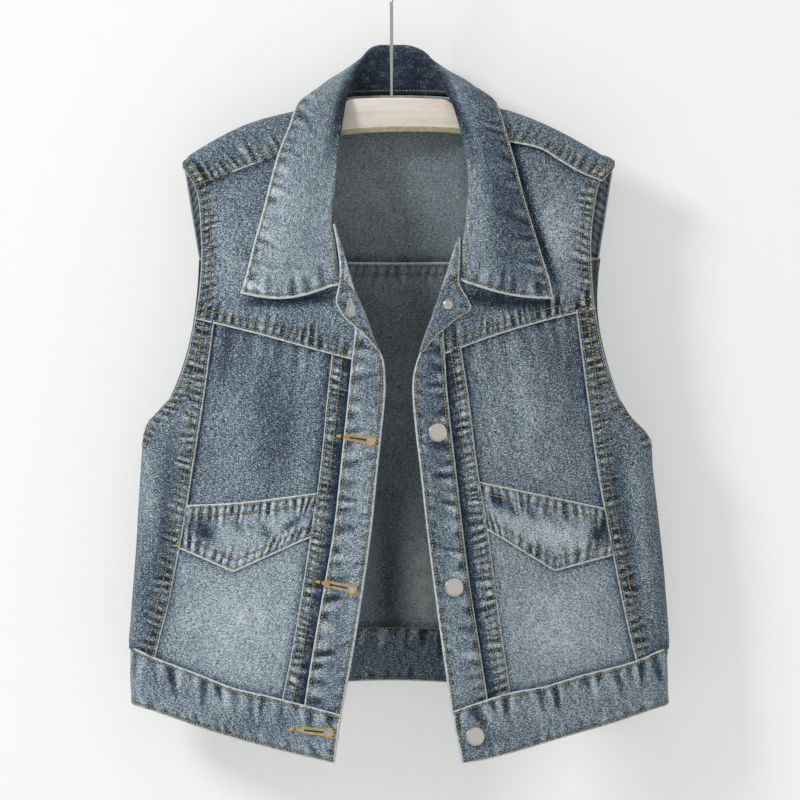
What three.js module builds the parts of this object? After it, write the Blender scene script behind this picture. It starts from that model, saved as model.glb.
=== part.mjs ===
// A sleeveless denim vest with a turned-down collar, hanging open on a wooden hanger.
// Millimetres, +Z up. The front faces -Y, and the wearer's right side is at -X.
// The origin is on the stem's axis, at the inside top of the hook, where a rod carries it. The tables
// of the vest and the board are read from TABLE_ZERO.
import * as THREE from "three";

// Cloth and gaps
const CLOTH = 1.2; // one layer of denim with its turned edges
const DOUBLE = 2.2; // collar, waistband, placket and lapel, which are two layers
const SEAM_GAP = 0.3; // between two pieces that are sewn together
const ABOVE_BAND = 0.4; // more room above the waistband, whose top bends less than the panels
const ON_TOP = 0.8; // how far a lapped piece stands out from the panel beside it
const POCKET_LIFT = 1.9; // pocket cloth over the centre panel
const VEE_LIFT = 2.3; // pocket yoke over the centre panel
const PLACKET_LEVEL = 1.3; // placket over the strip beside it

// Hanger
const TABLE_ZERO = -25; // the tables' zero, low enough that the stem is straight well above the collar
const BOARD_THICK = 10;
const WIRE_RADIUS = 1.6;
const HOOK_INNER = 20;
const HANGER_TOP = -120;

// Buttons
const CAP_RADIUS = 8.5;
const TACK_RADIUS = 4.7;

// Where the side turns from front to back
const SIDE_ROUND = 10;
const ARMHOLE_FOOT = -432;
const ROUND_STARTS = -388;

const lerp = THREE.MathUtils.lerp;
const clamp = THREE.MathUtils.clamp;
const smoothstep = THREE.MathUtils.smoothstep;

// Rows of numbers with named columns
function table(columns, rows) {
  const names = columns.split(" ");
  return rows.map((row) => Object.fromEntries(names.map((name, k) => [name, row[k]])));
}

// A smooth curve through one column of a table, read against another column
function curve(rows, at, value) {
  const sorted = [...rows].sort((a, b) => a[at] - b[at]);
  const xs = sorted.map((row) => row[at]);
  const ys = sorted.map((row) => row[value]);
  const last = xs.length - 1;
  const slope = xs.map((_, k) => {
    const from = Math.max(k - 1, 0);
    const to = Math.min(k + 1, last);
    return (ys[to] - ys[from]) / (xs[to] - xs[from]);
  });
  return (x) => {
    if (x <= xs[0]) return ys[0] + slope[0] * (x - xs[0]);
    if (x >= xs[last]) return ys[last] + slope[last] * (x - xs[last]);
    const k = xs.findIndex((knot) => knot > x) - 1;
    const step = xs[k + 1] - xs[k];
    const t = (x - xs[k]) / step;
    const rise = (ys[k + 1] - ys[k]) / step;
    const bend = t * (1 - t) * step;
    return (
      lerp(ys[k], ys[k + 1], t) + bend * ((1 - t) * (slope[k] - rise) - t * (slope[k + 1] - rise))
    );
  };
}

// A line of straight stretches through the same kind of table
function polyline(rows, at, value) {
  const sorted = [...rows].sort((a, b) => a[at] - b[at]);
  return (x) => {
    const k = clamp(sorted.findIndex((row) => row[at] > x) - 1, 0, sorted.length - 2);
    const from = x > sorted[sorted.length - 1][at] ? sorted.length - 2 : k;
    const a = sorted[from];
    const b = sorted[from + 1];
    return lerp(a[value], b[value], (x - a[at]) / (b[at] - a[at]));
  };
}

// Evenly spaced shares from 0 to 1
const even = (steps) => Array.from({ length: steps + 1 }, (_, k) => k / steps);

// The front: the x of every long seam at some heights. "outer" is the armhole, then the side.
const RIGHT_OUTER = table("z outer", [
  [-181, -188],
  [-207, -176],
  [-234, -172.5],
  [-268, -171.5],
  [-302, -174],
  [-321, -177],
  [-355, -184.5],
  [-388, -196.5],
  [-404, -208.5],
  [-417, -219.5],
  [-432, -223.5],
  [-467, -226.5],
  [-527, -230],
  [-587, -234.5],
  [-639, -238],
  [-669, -236.5],
]);
const LEFT_OUTER = table("z outer", [
  [-183, 197],
  [-197, 188.5],
  [-224, 182.5],
  [-259, 180],
  [-302, 182.5],
  [-343, 189],
  [-386, 202],
  [-411, 215.5],
  [-424, 228],
  [-434, 233.5],
  [-458, 235.5],
  [-502, 240.5],
  [-545, 245],
  [-618, 250.5],
  [-669, 252],
]);
const RIGHT_SEAMS = table("z panel strip placket", [
  [-330, -160, -51, -33],
  [-390, -168, -57.5, -39],
  [-457, -178.5, -64.5, -46],
  [-511, -187, -72.5, -52],
  [-565, -197.5, -80.5, -61],
  [-619, -210.5, -89, -70.5],
  [-673, -225, -100, -79],
]);
const LEFT_SEAMS = table("z panel strip placket", [
  [-330, 168, 59.5, 47],
  [-390, 176, 69, 50.5],
  [-457, 185, 77.5, 57.5],
  [-511, 194.5, 86.5, 63.5],
  [-565, 205, 93.5, 70.5],
  [-619, 217, 101, 79.5],
  [-673, 232, 109, 88],
]);
// The yoke's inner end: neckline, roll line, then the placket's seam
const RIGHT_NECK = table("z inner", [
  [-140, -56],
  [-158, -58],
  [-192, -59.5],
  [-212, -59.5],
  [-228, -59],
  [-250, -54.5],
  [-270, -48],
  [-292, -42],
  [-306, -38],
  [-330, -33],
  [-360, -36],
]);
const LEFT_NECK = table("z inner", [
  [-140, 68],
  [-158, 73],
  [-192, 77],
  [-212, 75],
  [-235, 67],
  [-260, 59],
  [-285, 52],
  [-310, 47.5],
  [-330, 46.5],
  [-360, 48.5],
]);
// The free edge of each front, below the end of the roll line
const RIGHT_EDGE = table("z edge", [
  [-285, -37],
  [-315, -24],
  [-343, -13.5],
  [-358, -7],
  [-374, -5.2],
  [-390, -5.2],
  [-424, -8.5],
  [-457, -12],
  [-511, -17.5],
  [-565, -25],
  [-619, -33.5],
  [-676, -44],
  [-721, -51],
]);
const LEFT_EDGE = table("z edge", [
  [-285, 48.5],
  [-315, 38],
  [-341, 30],
  [-355, 24],
  [-371, 19.5],
  [-388, 18.5],
  [-424, 21.5],
  [-457, 25.5],
  [-511, 31.5],
  [-560, 37.5],
  [-619, 45.5],
  [-676, 54],
  [-721, 63],
]);

// Seams across the front, as z at some x
const RIGHT_ACROSS = {
  shoulder: table("x z", [[-176, -203], [-159, -196.5], [-134, -186], [-105, -176], [-57, -158]]),
  yoke: table("x z", [[-177, -321.5], [-150, -328], [-99, -341], [-37, -358]]),
  mouth: table("x z", [[-182, -489], [-150, -487.5], [-116, -484.5], [-68, -478]]),
  vee: table("x z", [[-189, -529.5], [-141.5, -550], [-75, -519.5]]),
  waist: table("x z", [[-236, -616], [-214, -626], [-176, -640], [-142, -653], [-107, -661], [-44, -677]]),
  hem: table("x z", [[-236, -669], [-210, -677], [-167, -691.5], [-124, -704], [-59, -719.5], [-51, -721]]),
};
const LEFT_ACROSS = {
  shoulder: table("x z", [[73, -157], [107, -162.5], [134, -168.5], [153, -180], [171, -190], [190, -197]]),
  yoke: table("x z", [[48.5, -353], [85, -339.5], [136, -324], [184, -312.5]]),
  mouth: table("x z", [[79, -468], [136, -480], [190, -491.5]]),
  vee: table("x z", [[86.5, -512], [146.5, -549], [198.5, -535]]),
  waist: table("x z", [[250, -616], [219, -629.5], [170, -642], [136, -652], [105, -657.5], [53.5, -674]]),
  hem: table("x z", [[252, -669], [230, -676], [196, -687], [153, -699], [110, -711.5], [81, -718.5], [63, -721]]),
};

// How far the front stands out at its armhole or side, in its middle and at its edge
const FRONT_DEPTH = table("z outer middle edge", [
  [-158, -3, -8, -9],
  [-192, -7, -17, -25],
  [-228, -13, -25, -38],
  [-290, -17, -32, -45],
  [-330, -17, -36, -49],
  [-390, -13, -38, -54],
  [-457, -10, -38, -58],
  [-565, -10, -40, -62],
  [-721, -10, -43, -66],
]);
const BACK_DEPTH = table("z outer middle", [
  [-118, 6, 20],
  [-160, 8, 26],
  [-207, 10, 31],
  [-268, 14, 35],
  [-321, 15, 37],
  [-390, 12, 38],
  [-457, 10, 38],
  [-669, 10, 36],
]);

// The largest soft folds: a ridge is above zero, a trough below, "reach" is its half width
const FRONT_FOLDS = table("x1 z1 x2 z2 reach rise", [
  [-214, -445, -222, -585, 11, 3.0],
  [-196, -420, -206, -560, 9, -2.5],
  [-128, -350, -140, -455, 16, 2.2],
  [-88, -390, -104, -470, 13, -2.0],
  [-55, -420, -78, -600, 7, -2.2],
  [-150, -215, -140, -300, 15, 2.4],
  [219, -450, 232, -580, 11, 3.2],
  [202, -425, 216, -560, 9, -2.8],
  [118, -345, 128, -450, 15, 2.4],
  [160, -350, 168, -440, 12, -2.2],
  [58, -400, 82, -640, 7, -3.0],
  [150, -205, 148, -290, 14, 2.6],
]);
const BACK_FOLDS = table("x1 z1 x2 z2 reach rise", [
  [-150, -300, -165, -590, 22, 4.0],
  [-70, -330, -82, -600, 20, -3.4],
  [20, -310, 14, -590, 24, 3.6],
  [95, -320, 112, -600, 20, -3.6],
  [170, -310, 188, -590, 20, 3.8],
]);

function foldRise(folds, x, z) {
  let total = 0;
  for (const fold of folds) {
    const alongX = fold.x2 - fold.x1;
    const alongZ = fold.z2 - fold.z1;
    const lengthSquared = alongX * alongX + alongZ * alongZ;
    const share = ((x - fold.x1) * alongX + (z - fold.z1) * alongZ) / lengthSquared;
    const near = clamp(share, 0, 1);
    const off = Math.hypot(x - fold.x1 - near * alongX, z - fold.z1 - near * alongZ);
    const tail = Math.sin(Math.PI * clamp(0.12 + 0.76 * near, 0, 1));
    total += fold.rise * tail * Math.exp(-((off / fold.reach) ** 2));
  }
  return total;
}

// A value that passes through three depths at 0, 1/2 and 1
function bow(start, middle, end, u) {
  return start * (1 - 2 * u) * (1 - u) + middle * 4 * u * (1 - u) + end * u * (2 * u - 1);
}

// How much of the side's round is there at a height: none beside the armhole, all below it
function roundShare(z) {
  return 1 - smoothstep(z, ARMHOLE_FOOT, ROUND_STARTS);
}

// The quarter round at the side, from the side's plane to the face of the front or back
function sideRound(distance, depth, z) {
  const share = clamp((distance - SEAM_GAP / 2) / SIDE_ROUND, 0, 1);
  return depth * roundShare(z) * (1 - Math.sqrt(1 - (1 - share) ** 2));
}

// One front, as curves that give the x of its long seams and the z of its cross seams
function makeFront(outerRows, seamRows, neckRows, edgeRows, across) {
  const front = {
    outer: curve(outerRows, "z", "outer"),
    panel: curve(seamRows, "z", "panel"),
    strip: curve(seamRows, "z", "strip"),
    placket: curve(seamRows, "z", "placket"),
    neck: curve(neckRows, "z", "inner"),
    edge: curve(edgeRows, "z", "edge"),
    side: Math.sign(outerRows[0].outer),
  };
  for (const name of ["shoulder", "yoke", "mouth", "waist", "hem"]) {
    front[name] = curve(across[name], "x", "z");
  }
  front.vee = polyline(across.vee, "x", "z");
  const depthOuter = curve(FRONT_DEPTH, "z", "outer");
  const depthMiddle = curve(FRONT_DEPTH, "z", "middle");
  const depthEdge = curve(FRONT_DEPTH, "z", "edge");
  front.depth = (x, z) => {
    const outer = front.outer(z);
    const inner = z > -345 ? front.neck(z) : front.edge(z);
    const u = clamp((x - outer) / (inner - outer), 0, 1.15);
    const flat = bow(depthOuter(z), depthMiddle(z), depthEdge(z), u);
    const distance = Math.abs(x - outer);
    const fold = foldRise(FRONT_FOLDS, x, z) * clamp(distance / SIDE_ROUND, 0, 1);
    return flat - fold + sideRound(distance, -depthOuter(z) - SEAM_GAP, z);
  };
  return front;
}

const RIGHT = makeFront(RIGHT_OUTER, RIGHT_SEAMS, RIGHT_NECK, RIGHT_EDGE, RIGHT_ACROSS);
const LEFT = makeFront(LEFT_OUTER, LEFT_SEAMS, LEFT_NECK, LEFT_EDGE, LEFT_ACROSS);

// The back's armholes, which run into the fronts' outer lines low in the armhole
const SHARED_FROM = -400;
const shared = (rows) => rows.filter((row) => row.z < SHARED_FROM);
const RIGHT_BACK_OUTER = [
  ...table("z outer", [
    [-181, -188],
    [-207, -183],
    [-232, -175.5],
    [-270, -174],
    [-320, -178.5],
    [-355, -186],
    [-388, -198],
  ]),
  ...shared(RIGHT_OUTER),
];
const LEFT_BACK_OUTER = [
  ...table("z outer", [
    [-180, 201],
    [-199, 200.5],
    [-233, 194.5],
    [-276, 187.5],
    [-311, 186],
    [-343, 190.5],
    [-386, 203],
  ]),
  ...shared(LEFT_OUTER),
];
const BACK_YOKE_SEAM = table("x z", [[-174, -266], [0, -270], [187, -266]]);
const BACK_WAIST = table("x z", [[-236, -616], [-150, -607], [0, -598], [150, -607], [250, -616]]);
const BACK_HEM = table("x z", [[-236, -669], [-150, -659], [0, -649], [150, -659], [252, -669]]);

const BACK = {
  rightOuter: curve(RIGHT_BACK_OUTER, "z", "outer"),
  leftOuter: curve(LEFT_BACK_OUTER, "z", "outer"),
  yoke: curve(BACK_YOKE_SEAM, "x", "z"),
  waist: curve(BACK_WAIST, "x", "z"),
  hem: curve(BACK_HEM, "x", "z"),
};
const backOuterDepth = curve(BACK_DEPTH, "z", "outer");
const backMiddleDepth = curve(BACK_DEPTH, "z", "middle");
BACK.depth = (x, z) => {
  const right = BACK.rightOuter(z);
  const left = BACK.leftOuter(z);
  const u = clamp((x - right) / (left - right), 0, 1);
  const outer = backOuterDepth(z);
  const flat = lerp(outer, backMiddleDepth(z), Math.sin(Math.PI * u) ** 0.8);
  const distance = Math.min(x - right, left - x);
  const fold = foldRise(BACK_FOLDS, x, z) * clamp(distance / (2 * SIDE_ROUND), 0, 1);
  return flat + fold - sideRound(Math.max(distance, 0), outer - SEAM_GAP, z);
};

// A grid of points between two long lines and two cross lines. It starts from the lines' ends and
// closes in on the point that lies on both, so the lines need no shared corners.
function patch(surface, lines, columns, rows) {
  const inset = SEAM_GAP / 2;
  return columns.map((s) =>
    rows.map((t) => {
      let z = lerp(lines.top(0), lines.bottom(0), t);
      let x = 0;
      for (let turn = 0; turn < 12; turn++) {
        const from = lines.from(z) + inset;
        const to = lines.to(z) - inset;
        x = lerp(from, to, s);
        z = lerp(lines.top(x) - inset, lines.bottom(x) + inset, t);
      }
      return new THREE.Vector3(x, surface.depth(x, z), z);
    }),
  );
}

// Outward direction at each point of a grid: its columns run round the body, its rows run down
function outwards(grid) {
  const lastColumn = grid.length - 1;
  const lastRow = grid[0].length - 1;
  return grid.map((column, i) =>
    column.map((_, j) => {
      const across = new THREE.Vector3().subVectors(
        grid[Math.min(i + 1, lastColumn)][j],
        grid[Math.max(i - 1, 0)][j],
      );
      const down = new THREE.Vector3().subVectors(
        column[Math.min(j + 1, lastRow)],
        column[Math.max(j - 1, 0)],
      );
      return down.cross(across).normalize();
    }),
  );
}

// A closed wall of cloth on a grid of points, moved out by "level" at its middle
function wall(grid, thick, level = 0) {
  const out = outwards(grid);
  const columns = grid.length;
  const rows = grid[0].length;
  const count = columns * rows;
  const positions = [];
  for (const offset of [level + thick / 2, level - thick / 2]) {
    grid.forEach((column, i) =>
      column.forEach((point, j) => {
        positions.push(...point.clone().addScaledVector(out[i][j], offset).toArray());
      }),
    );
  }
  const outer = (i, j) => i * rows + j;
  const inner = (i, j) => count + i * rows + j;
  const faces = [];
  const quad = (a, b, c, d) => faces.push(a, b, c, b, d, c);
  for (let i = 0; i < columns - 1; i++) {
    for (let j = 0; j < rows - 1; j++) {
      quad(outer(i, j), outer(i, j + 1), outer(i + 1, j), outer(i + 1, j + 1));
      quad(inner(i, j), inner(i + 1, j), inner(i, j + 1), inner(i + 1, j + 1));
    }
    quad(outer(i, 0), outer(i + 1, 0), inner(i, 0), inner(i + 1, 0));
    quad(outer(i, rows - 1), inner(i, rows - 1), outer(i + 1, rows - 1), inner(i + 1, rows - 1));
  }
  for (let j = 0; j < rows - 1; j++) {
    quad(outer(0, j), inner(0, j), outer(0, j + 1), inner(0, j + 1));
    quad(outer(columns - 1, j), outer(columns - 1, j + 1), inner(columns - 1, j), inner(columns - 1, j + 1));
  }
  const geometry = new THREE.BufferGeometry();
  geometry.setAttribute("position", new THREE.Float32BufferAttribute(positions, 3));
  geometry.setIndex(faces);
  geometry.computeVertexNormals();
  return geometry;
}

// Materials
const denim = (colour) =>
  new THREE.MeshStandardMaterial({ color: colour, roughness: 0.9, metalness: 0, side: THREE.DoubleSide });
const BODY_DENIM = denim(0x687c92);
const YOKE_DENIM = denim(0x5f7387);
const POCKET_DENIM = denim(0x96a6b2);
const COLLAR_DENIM = denim(0x768496);
const BAND_DENIM = denim(0x788a9a);
const BEECH = new THREE.MeshStandardMaterial({ color: 0xe0d8ce, roughness: 0.55, metalness: 0 });
const WIRE = new THREE.MeshStandardMaterial({ color: 0xb4b4b2, roughness: 0.25, metalness: 1 });
const NICKEL = new THREE.MeshStandardMaterial({ color: 0xcbc4be, roughness: 0.4, metalness: 0.9 });

const vest = new THREE.Group();
const garment = new THREE.Group();
garment.position.z = TABLE_ZERO;
vest.add(garment);

function addPiece(name, geometry, material, parent = garment) {
  const mesh = new THREE.Mesh(geometry, material);
  mesh.name = name;
  parent.add(mesh);
  return mesh;
}

// Lines of a front, ordered from -X to +X
function between(front, outerLine, innerLine, top, bottom) {
  const [from, to] = front.side < 0 ? [outerLine, innerLine] : [innerLine, outerLine];
  return { from, to, top, bottom };
}

// Shares that crowd at the side, where the cloth turns
function crowded(front, shares) {
  return front.side < 0 ? shares : shares.map((share) => 1 - share).reverse();
}

function addFront(front, prefix) {
  const low = (x) => front.waist(x) + ABOVE_BAND;
  const sideShares = crowded(front, [0, 0.05, 0.13, 0.28, 0.5, 0.75, 1]);
  const pieces = [
    ["front_yoke", front.outer, front.neck, front.shoulder, front.yoke, even(8), even(8), YOKE_DENIM, ON_TOP],
    ["front_side_panel", front.outer, front.panel, front.yoke, low, sideShares, even(12), BODY_DENIM, ON_TOP],
    ["front_centre_panel", front.panel, front.strip, front.yoke, low, even(6), even(9), BODY_DENIM, 0],
    ["front_strip", front.strip, front.placket, front.yoke, low, even(2), even(14), BODY_DENIM, ON_TOP],
  ];
  for (const [name, outerLine, innerLine, top, bottom, columns, rows, material, level] of pieces) {
    const grid = patch(front, between(front, outerLine, innerLine, top, bottom), columns, rows);
    addPiece(prefix + "_" + name, wall(grid, CLOTH, level), material);
  }
}

const PLACKET_TOP = -296;
const PLACKET_CLEAR = 0.2; // more room between the placket and the strip, whose walls differ

function addPlacket(front, prefix) {
  const top = () => PLACKET_TOP;
  const grid = patch(front, between(front, front.neck, front.edge, top, front.yoke), even(2), even(5));
  const seam = (z) => front.placket(z) - front.side * PLACKET_CLEAR;
  const low = (x) => front.waist(x) + ABOVE_BAND;
  const lower = patch(front, between(front, seam, front.edge, front.yoke, low), even(2), even(14));
  const joined = grid.map((column, i) => [...column.slice(0, -1), ...lower[i]]);
  addPiece(prefix + "_placket", wall(joined, DOUBLE, PLACKET_LEVEL), BAND_DENIM);
}

const POCKET_MARGIN = 0.5; // between the pocket and the seams beside it
const RIGHT_POINT = 0.43; // where the V's point lies across each pocket
const LEFT_POINT = 0.535;

function addPocket(front, prefix) {
  const outerLine = (z) => front.panel(z) - front.side * POCKET_MARGIN;
  const innerLine = (z) => front.strip(z) + front.side * POCKET_MARGIN;
  const point = front.side < 0 ? RIGHT_POINT : LEFT_POINT;
  const columns = [0, point / 2, point, (1 + 2 * point) / 3, (2 + point) / 3, 1];
  const yoke = patch(front, between(front, outerLine, innerLine, front.mouth, front.vee), columns, even(3));
  addPiece(prefix + "_pocket_yoke", wall(yoke, CLOTH, VEE_LIFT), POCKET_DENIM);
  const low = (x) => front.waist(x) + ABOVE_BAND;
  const body = patch(front, between(front, outerLine, innerLine, front.vee, low), columns, even(5));
  addPiece(prefix + "_pocket_body", wall(body, CLOTH, POCKET_LIFT), POCKET_DENIM);
}

// The back yoke goes from the forward shoulder seams over the ridge of the shoulders to the seam across
// the back. In the middle it starts at the neckline. A row is one line down the piece.
const YOKE_LINES = table("topX topY topZ ridgeX ridgeZ lowX", [
  [190, -7, -196.7, 201, -180, 187.5],
  [171, -12, -189.7, 186, -172, 166],
  [153, -14, -179.7, 157.5, -156, 148],
  [134, -15, -168.2, 130, -143, 128],
  [107, -14, -162.2, 103, -133.5, 104],
  [73, -12, -156.7, 73, -128.5, 78],
  [72, -8, -135, 72, -128.5, 71],
  [70.5, -4, -129.8, 70.5, -128.3, 65],
  [67, 3.5, -129, 65, -130, 58],
  [55, 12, -122.5, 52, -126, 44],
  [28, 19.5, -119.4, 27, -124, 24],
  [2, 21.5, -119, 2, -124, 2],
  [-22, 19.5, -119.4, -20, -124, -22],
  [-43, 12, -122.5, -41, -126, -42],
  [-54, 3.5, -129, -52, -130, -54],
  [-56.5, -4, -130.2, -56.5, -128.8, -62],
  [-57, -8, -135, -57, -129, -68],
  [-57.5, -9, -157.7, -58, -129, -75],
  [-105, -13, -175.7, -104, -138.5, -104],
  [-134, -13, -185.7, -136.5, -149, -134],
  [-159, -10, -196.2, -172, -168, -158],
  [-175.5, -7, -202.7, -188, -181, -174],
]);
const RIDGE_HALF = 8.5;
const RIDGE_DROP = 5;

function yokeLine(row) {
  const points = [new THREE.Vector3(row.topX, row.topY, row.topZ)];
  const overRidge = row.topY < 0;
  const alongX = (z) => lerp(row.ridgeX, row.lowX, (z - row.ridgeZ) / (BACK.yoke(row.lowX) - row.ridgeZ));
  if (overRidge) {
    const frontY = -Math.min(RIDGE_HALF * 0.85, Math.abs(row.topY) * 0.9);
    const frontZ = Math.max(row.ridgeZ - RIDGE_DROP, lerp(row.topZ, row.ridgeZ, 0.6));
    const front = new THREE.Vector3(row.ridgeX, frontY, frontZ);
    points.push(points[0].clone().lerp(front, 0.5), front);
    points.push(new THREE.Vector3(row.ridgeX, 0, row.ridgeZ));
  } else {
    const start = points[0];
    for (const share of [0.12, 0.24, 0.36]) {
      const z = lerp(start.z, -150, share);
      const lean = lerp(start.y, Math.max(BACK.depth(row.ridgeX, -150), 14), Math.sqrt(share));
      points.push(new THREE.Vector3(lerp(start.x, row.ridgeX, share), lean, z));
    }
  }
  const crest = points[3];
  const behind = overRidge ? RIDGE_HALF : Math.max(crest.y, RIDGE_HALF);
  const shoulderZ = crest.z - RIDGE_DROP;
  points.push(new THREE.Vector3(alongX(shoulderZ), lerp(crest.y, behind, 0.85), shoulderZ));
  const low = BACK.yoke(row.lowX) + SEAM_GAP / 2;
  for (const share of [0.2, 0.45, 0.72, 1]) {
    const z = lerp(shoulderZ, low, share);
    const x = alongX(z);
    points.push(new THREE.Vector3(x, lerp(behind, BACK.depth(x, z), smoothstep(share, 0, 0.45)), z));
  }
  return points;
}

function addBack() {
  addPiece("back_yoke", wall(YOKE_LINES.map(yokeLine), CLOTH, ON_TOP), YOKE_DENIM);
  const low = (x) => BACK.waist(x) + ABOVE_BAND;
  const sideGap = { from: BACK.rightOuter, to: BACK.leftOuter, top: BACK.yoke, bottom: low };
  const shares = [0, 0.007, 0.02, 0.045, 0.11, 0.2, 0.3, 0.4, 0.5];
  const mirrored = shares.slice(0, -1).map((share) => 1 - share).reverse();
  const grid = patch(BACK, sideGap, [...shares, ...mirrored], even(11)).reverse();
  addPiece("back_panel", wall(grid, CLOTH), BODY_DENIM);
}

// The waistband runs from the left front's edge round the back to the right front's edge
const SIDE_WAIST = -616; // about where its top and its foot cross the side
const SIDE_HEM = -669;
const BAND_CLEAR = 0.2; // more room under the panels, whose walls differ

function addWaistband() {
  const frontShares = [0.02, 0.05, 0.12, 0.26, 0.4, 0.55, 0.7, 0.85, 1];
  const strip = (front) => {
    const top = (x) => front.waist(x) - BAND_CLEAR;
    const lines = between(front, front.outer, front.edge, top, front.hem);
    return patch(front, lines, crowded(front, frontShares), even(3));
  };
  const backShares = [0.008, 0.025, 0.055, 0.13, 0.25, 0.37, 0.5];
  const otherShares = backShares.slice(0, -1).map((share) => 1 - share).reverse();
  const backTop = (x) => BACK.waist(x) - BAND_CLEAR;
  const backLines = { from: BACK.rightOuter, to: BACK.leftOuter, top: backTop, bottom: BACK.hem };
  const back = patch(BACK, backLines, [...backShares, ...otherShares], even(3)).reverse();
  const turn = (front) =>
    even(3).map((t) => {
      const top = front.waist(front.outer(SIDE_WAIST)) - 2 * BAND_CLEAR;
      const z = lerp(top, front.hem(front.outer(SIDE_HEM)), t);
      return new THREE.Vector3(front.outer(z), 0, z);
    });
  const grid = [...strip(LEFT), turn(LEFT), ...back, turn(RIGHT), ...strip(RIGHT)];
  addPiece("waistband", wall(grid, DOUBLE, ON_TOP), BAND_DENIM);
}

// The collar, one row for each section from the left front end round the back to the right front end.
// "neck" is where it is sewn on, "roll" is its fold, "edge" is the rim of the leaf. "swell" lifts the
// middle of the leaf, and "drop" lowers it.
const COLLAR = table("neckX neckY neckZ rollX rollY rollZ edgeX edgeY edgeZ swell drop", [
  [63, -49, -286, 65, -50, -289, 146, -33, -303.5, 2, -4],
  [64, -46, -258, 66, -48.5, -258, 142.5, -33, -287, 2, -2],
  [69, -41, -228, 68, -45.5, -226, 134.5, -32, -262, 3, 0],
  [74, -33, -206, 68.5, -40.5, -204, 126.5, -30, -236, 4, 0],
  [75, -26, -183, 67, -33, -180, 118.5, -28, -209, 4, 0],
  [72, -17, -158, 62.5, -25, -157, 111.5, -23, -181, 5, 0],
  [68.5, -10, -136, 54.5, -15, -129, 103, -18, -152, 6, 0],
  [68, -7, -126.5, 50.5, -10, -121, 98.5, -13, -137, 7, 0],
  [64, -1, -121, 47, -4, -114, 93, -1, -125.5, 8, 0],
  [56, 8, -118.5, 40, 8, -97, 82, 19, -137, 13, 0],
  [42, 15, -118, 31, 16, -80, 64, 32, -149, 12, 0],
  [21, 20, -117.6, 17, 20.5, -72, 36, 42, -158, 7, 0],
  [1, 22, -117.5, 1, 22, -71, 1, 45, -162, 5, 0],
  [-18, 20, -117.6, -14, 20.5, -72, -32, 42, -159, 7, 0],
  [-33, 15, -118, -23, 16, -80, -57, 32, -150, 12, 0],
  [-44, 8, -118.5, -31, 8, -96, -72, 19, -139, 13, 0],
  [-52, -1, -121, -36.5, -4, -113, -83, -1, -127, 8, 0],
  [-54.5, -7, -126.5, -38.5, -9.5, -121, -88, -13, -136, 7, 0],
  [-55, -10, -136, -40.5, -14, -131, -92.5, -17, -148, 6, 0],
  [-56, -16, -158, -44.5, -24, -157, -102, -21, -172, 5, 0],
  [-57, -25, -183, -47.5, -32, -180, -109.5, -26, -199, 4, 0],
  [-57.5, -32, -206, -50, -39, -204, -116.5, -29, -227, 4, 0],
  [-56, -39, -228, -54, -43, -227, -124, -31, -254, 3, 0],
  [-50.5, -45.5, -258, -52, -47.5, -258, -131, -31, -282, 2, -4],
  [-46.5, -48, -291, -49, -49.5, -292, -136, -31, -298.5, 2, -8],
]);
const COLLAR_FOLD = 4; // how far from the roll line the fold's round starts

function collarLine(row) {
  const neck = new THREE.Vector3(row.neckX, row.neckY, row.neckZ);
  const roll = new THREE.Vector3(row.rollX, row.rollY, row.rollZ);
  const edge = new THREE.Vector3(row.edgeX, row.edgeY, row.edgeZ);
  const stand = neck.distanceTo(roll);
  const start = roll.clone().lerp(neck, Math.min(0.5, COLLAR_FOLD / stand));
  const end = roll.clone().lerp(edge, COLLAR_FOLD / roll.distanceTo(edge));
  const fold = new THREE.QuadraticBezierCurve3(start, roll, end);
  const line = [neck, neck.clone().lerp(start, 0.5), ...fold.getPoints(4)];
  for (const share of [0.18, 0.38, 0.58, 0.79, 1]) {
    const point = end.clone().lerp(edge, share);
    point.z += row.drop * Math.sin(Math.PI * share);
    line.push(point);
  }
  return line;
}

function addCollar() {
  const grid = COLLAR.map(collarLine);
  const out = outwards(grid);
  const leafStart = 6;
  const leafEnd = grid[0].length - 1;
  grid.forEach((line, i) =>
    line.forEach((point, j) => {
      const share = clamp((j - leafStart) / (leafEnd - leafStart), 0, 1);
      point.addScaledVector(out[i][j], COLLAR[i].swell * Math.sin(Math.PI * share));
    }),
  );
  addPiece("collar", wall(grid, DOUBLE), COLLAR_DENIM);
}

// Each lapel is the placket's top end turned out. A row is one height, from the neck down to the end
// of the roll line.
const RIGHT_LAPEL = table("z roll free lift", [
  [-236, -50.5, -52.5, 4],
  [-258, -44, -48.5, 4],
  [-277, -38.5, -46.5, 4],
  [-291, -34.5, -45, 4],
  [-304, -29.5, -50, 4.5],
  [-322, -22.5, -41.5, 5],
  [-335, -17, -27, 5],
  [-349, -11.5, -15, 4.5],
]);
const LEFT_LAPEL = table("z roll free lift", [
  [-248, 60, 62, 4],
  [-262, 55, 62, 4],
  [-277, 50.5, 61.5, 4],
  [-290, 46, 61.5, 4],
  [-304, 41.5, 71, 4.5],
  [-314, 38, 67, 5],
  [-326, 34, 53, 5],
  [-340, 28.5, 35, 5],
  [-351, 25, 28.5, 4.5],
]);

function addLapel(front, rows, prefix) {
  const grid = rows.map((row) =>
    even(3).map((share) => {
      const x = lerp(row.roll, row.free, share);
      return new THREE.Vector3(x, front.depth(x, row.z) - row.lift, row.z);
    }),
  );
  const across = grid[0].map((_, j) => grid.map((line) => line[j]));
  const ordered = front.side < 0 ? across.reverse() : across;
  addPiece(prefix + "_lapel", wall(ordered, DOUBLE), BAND_DENIM);
}

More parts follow.
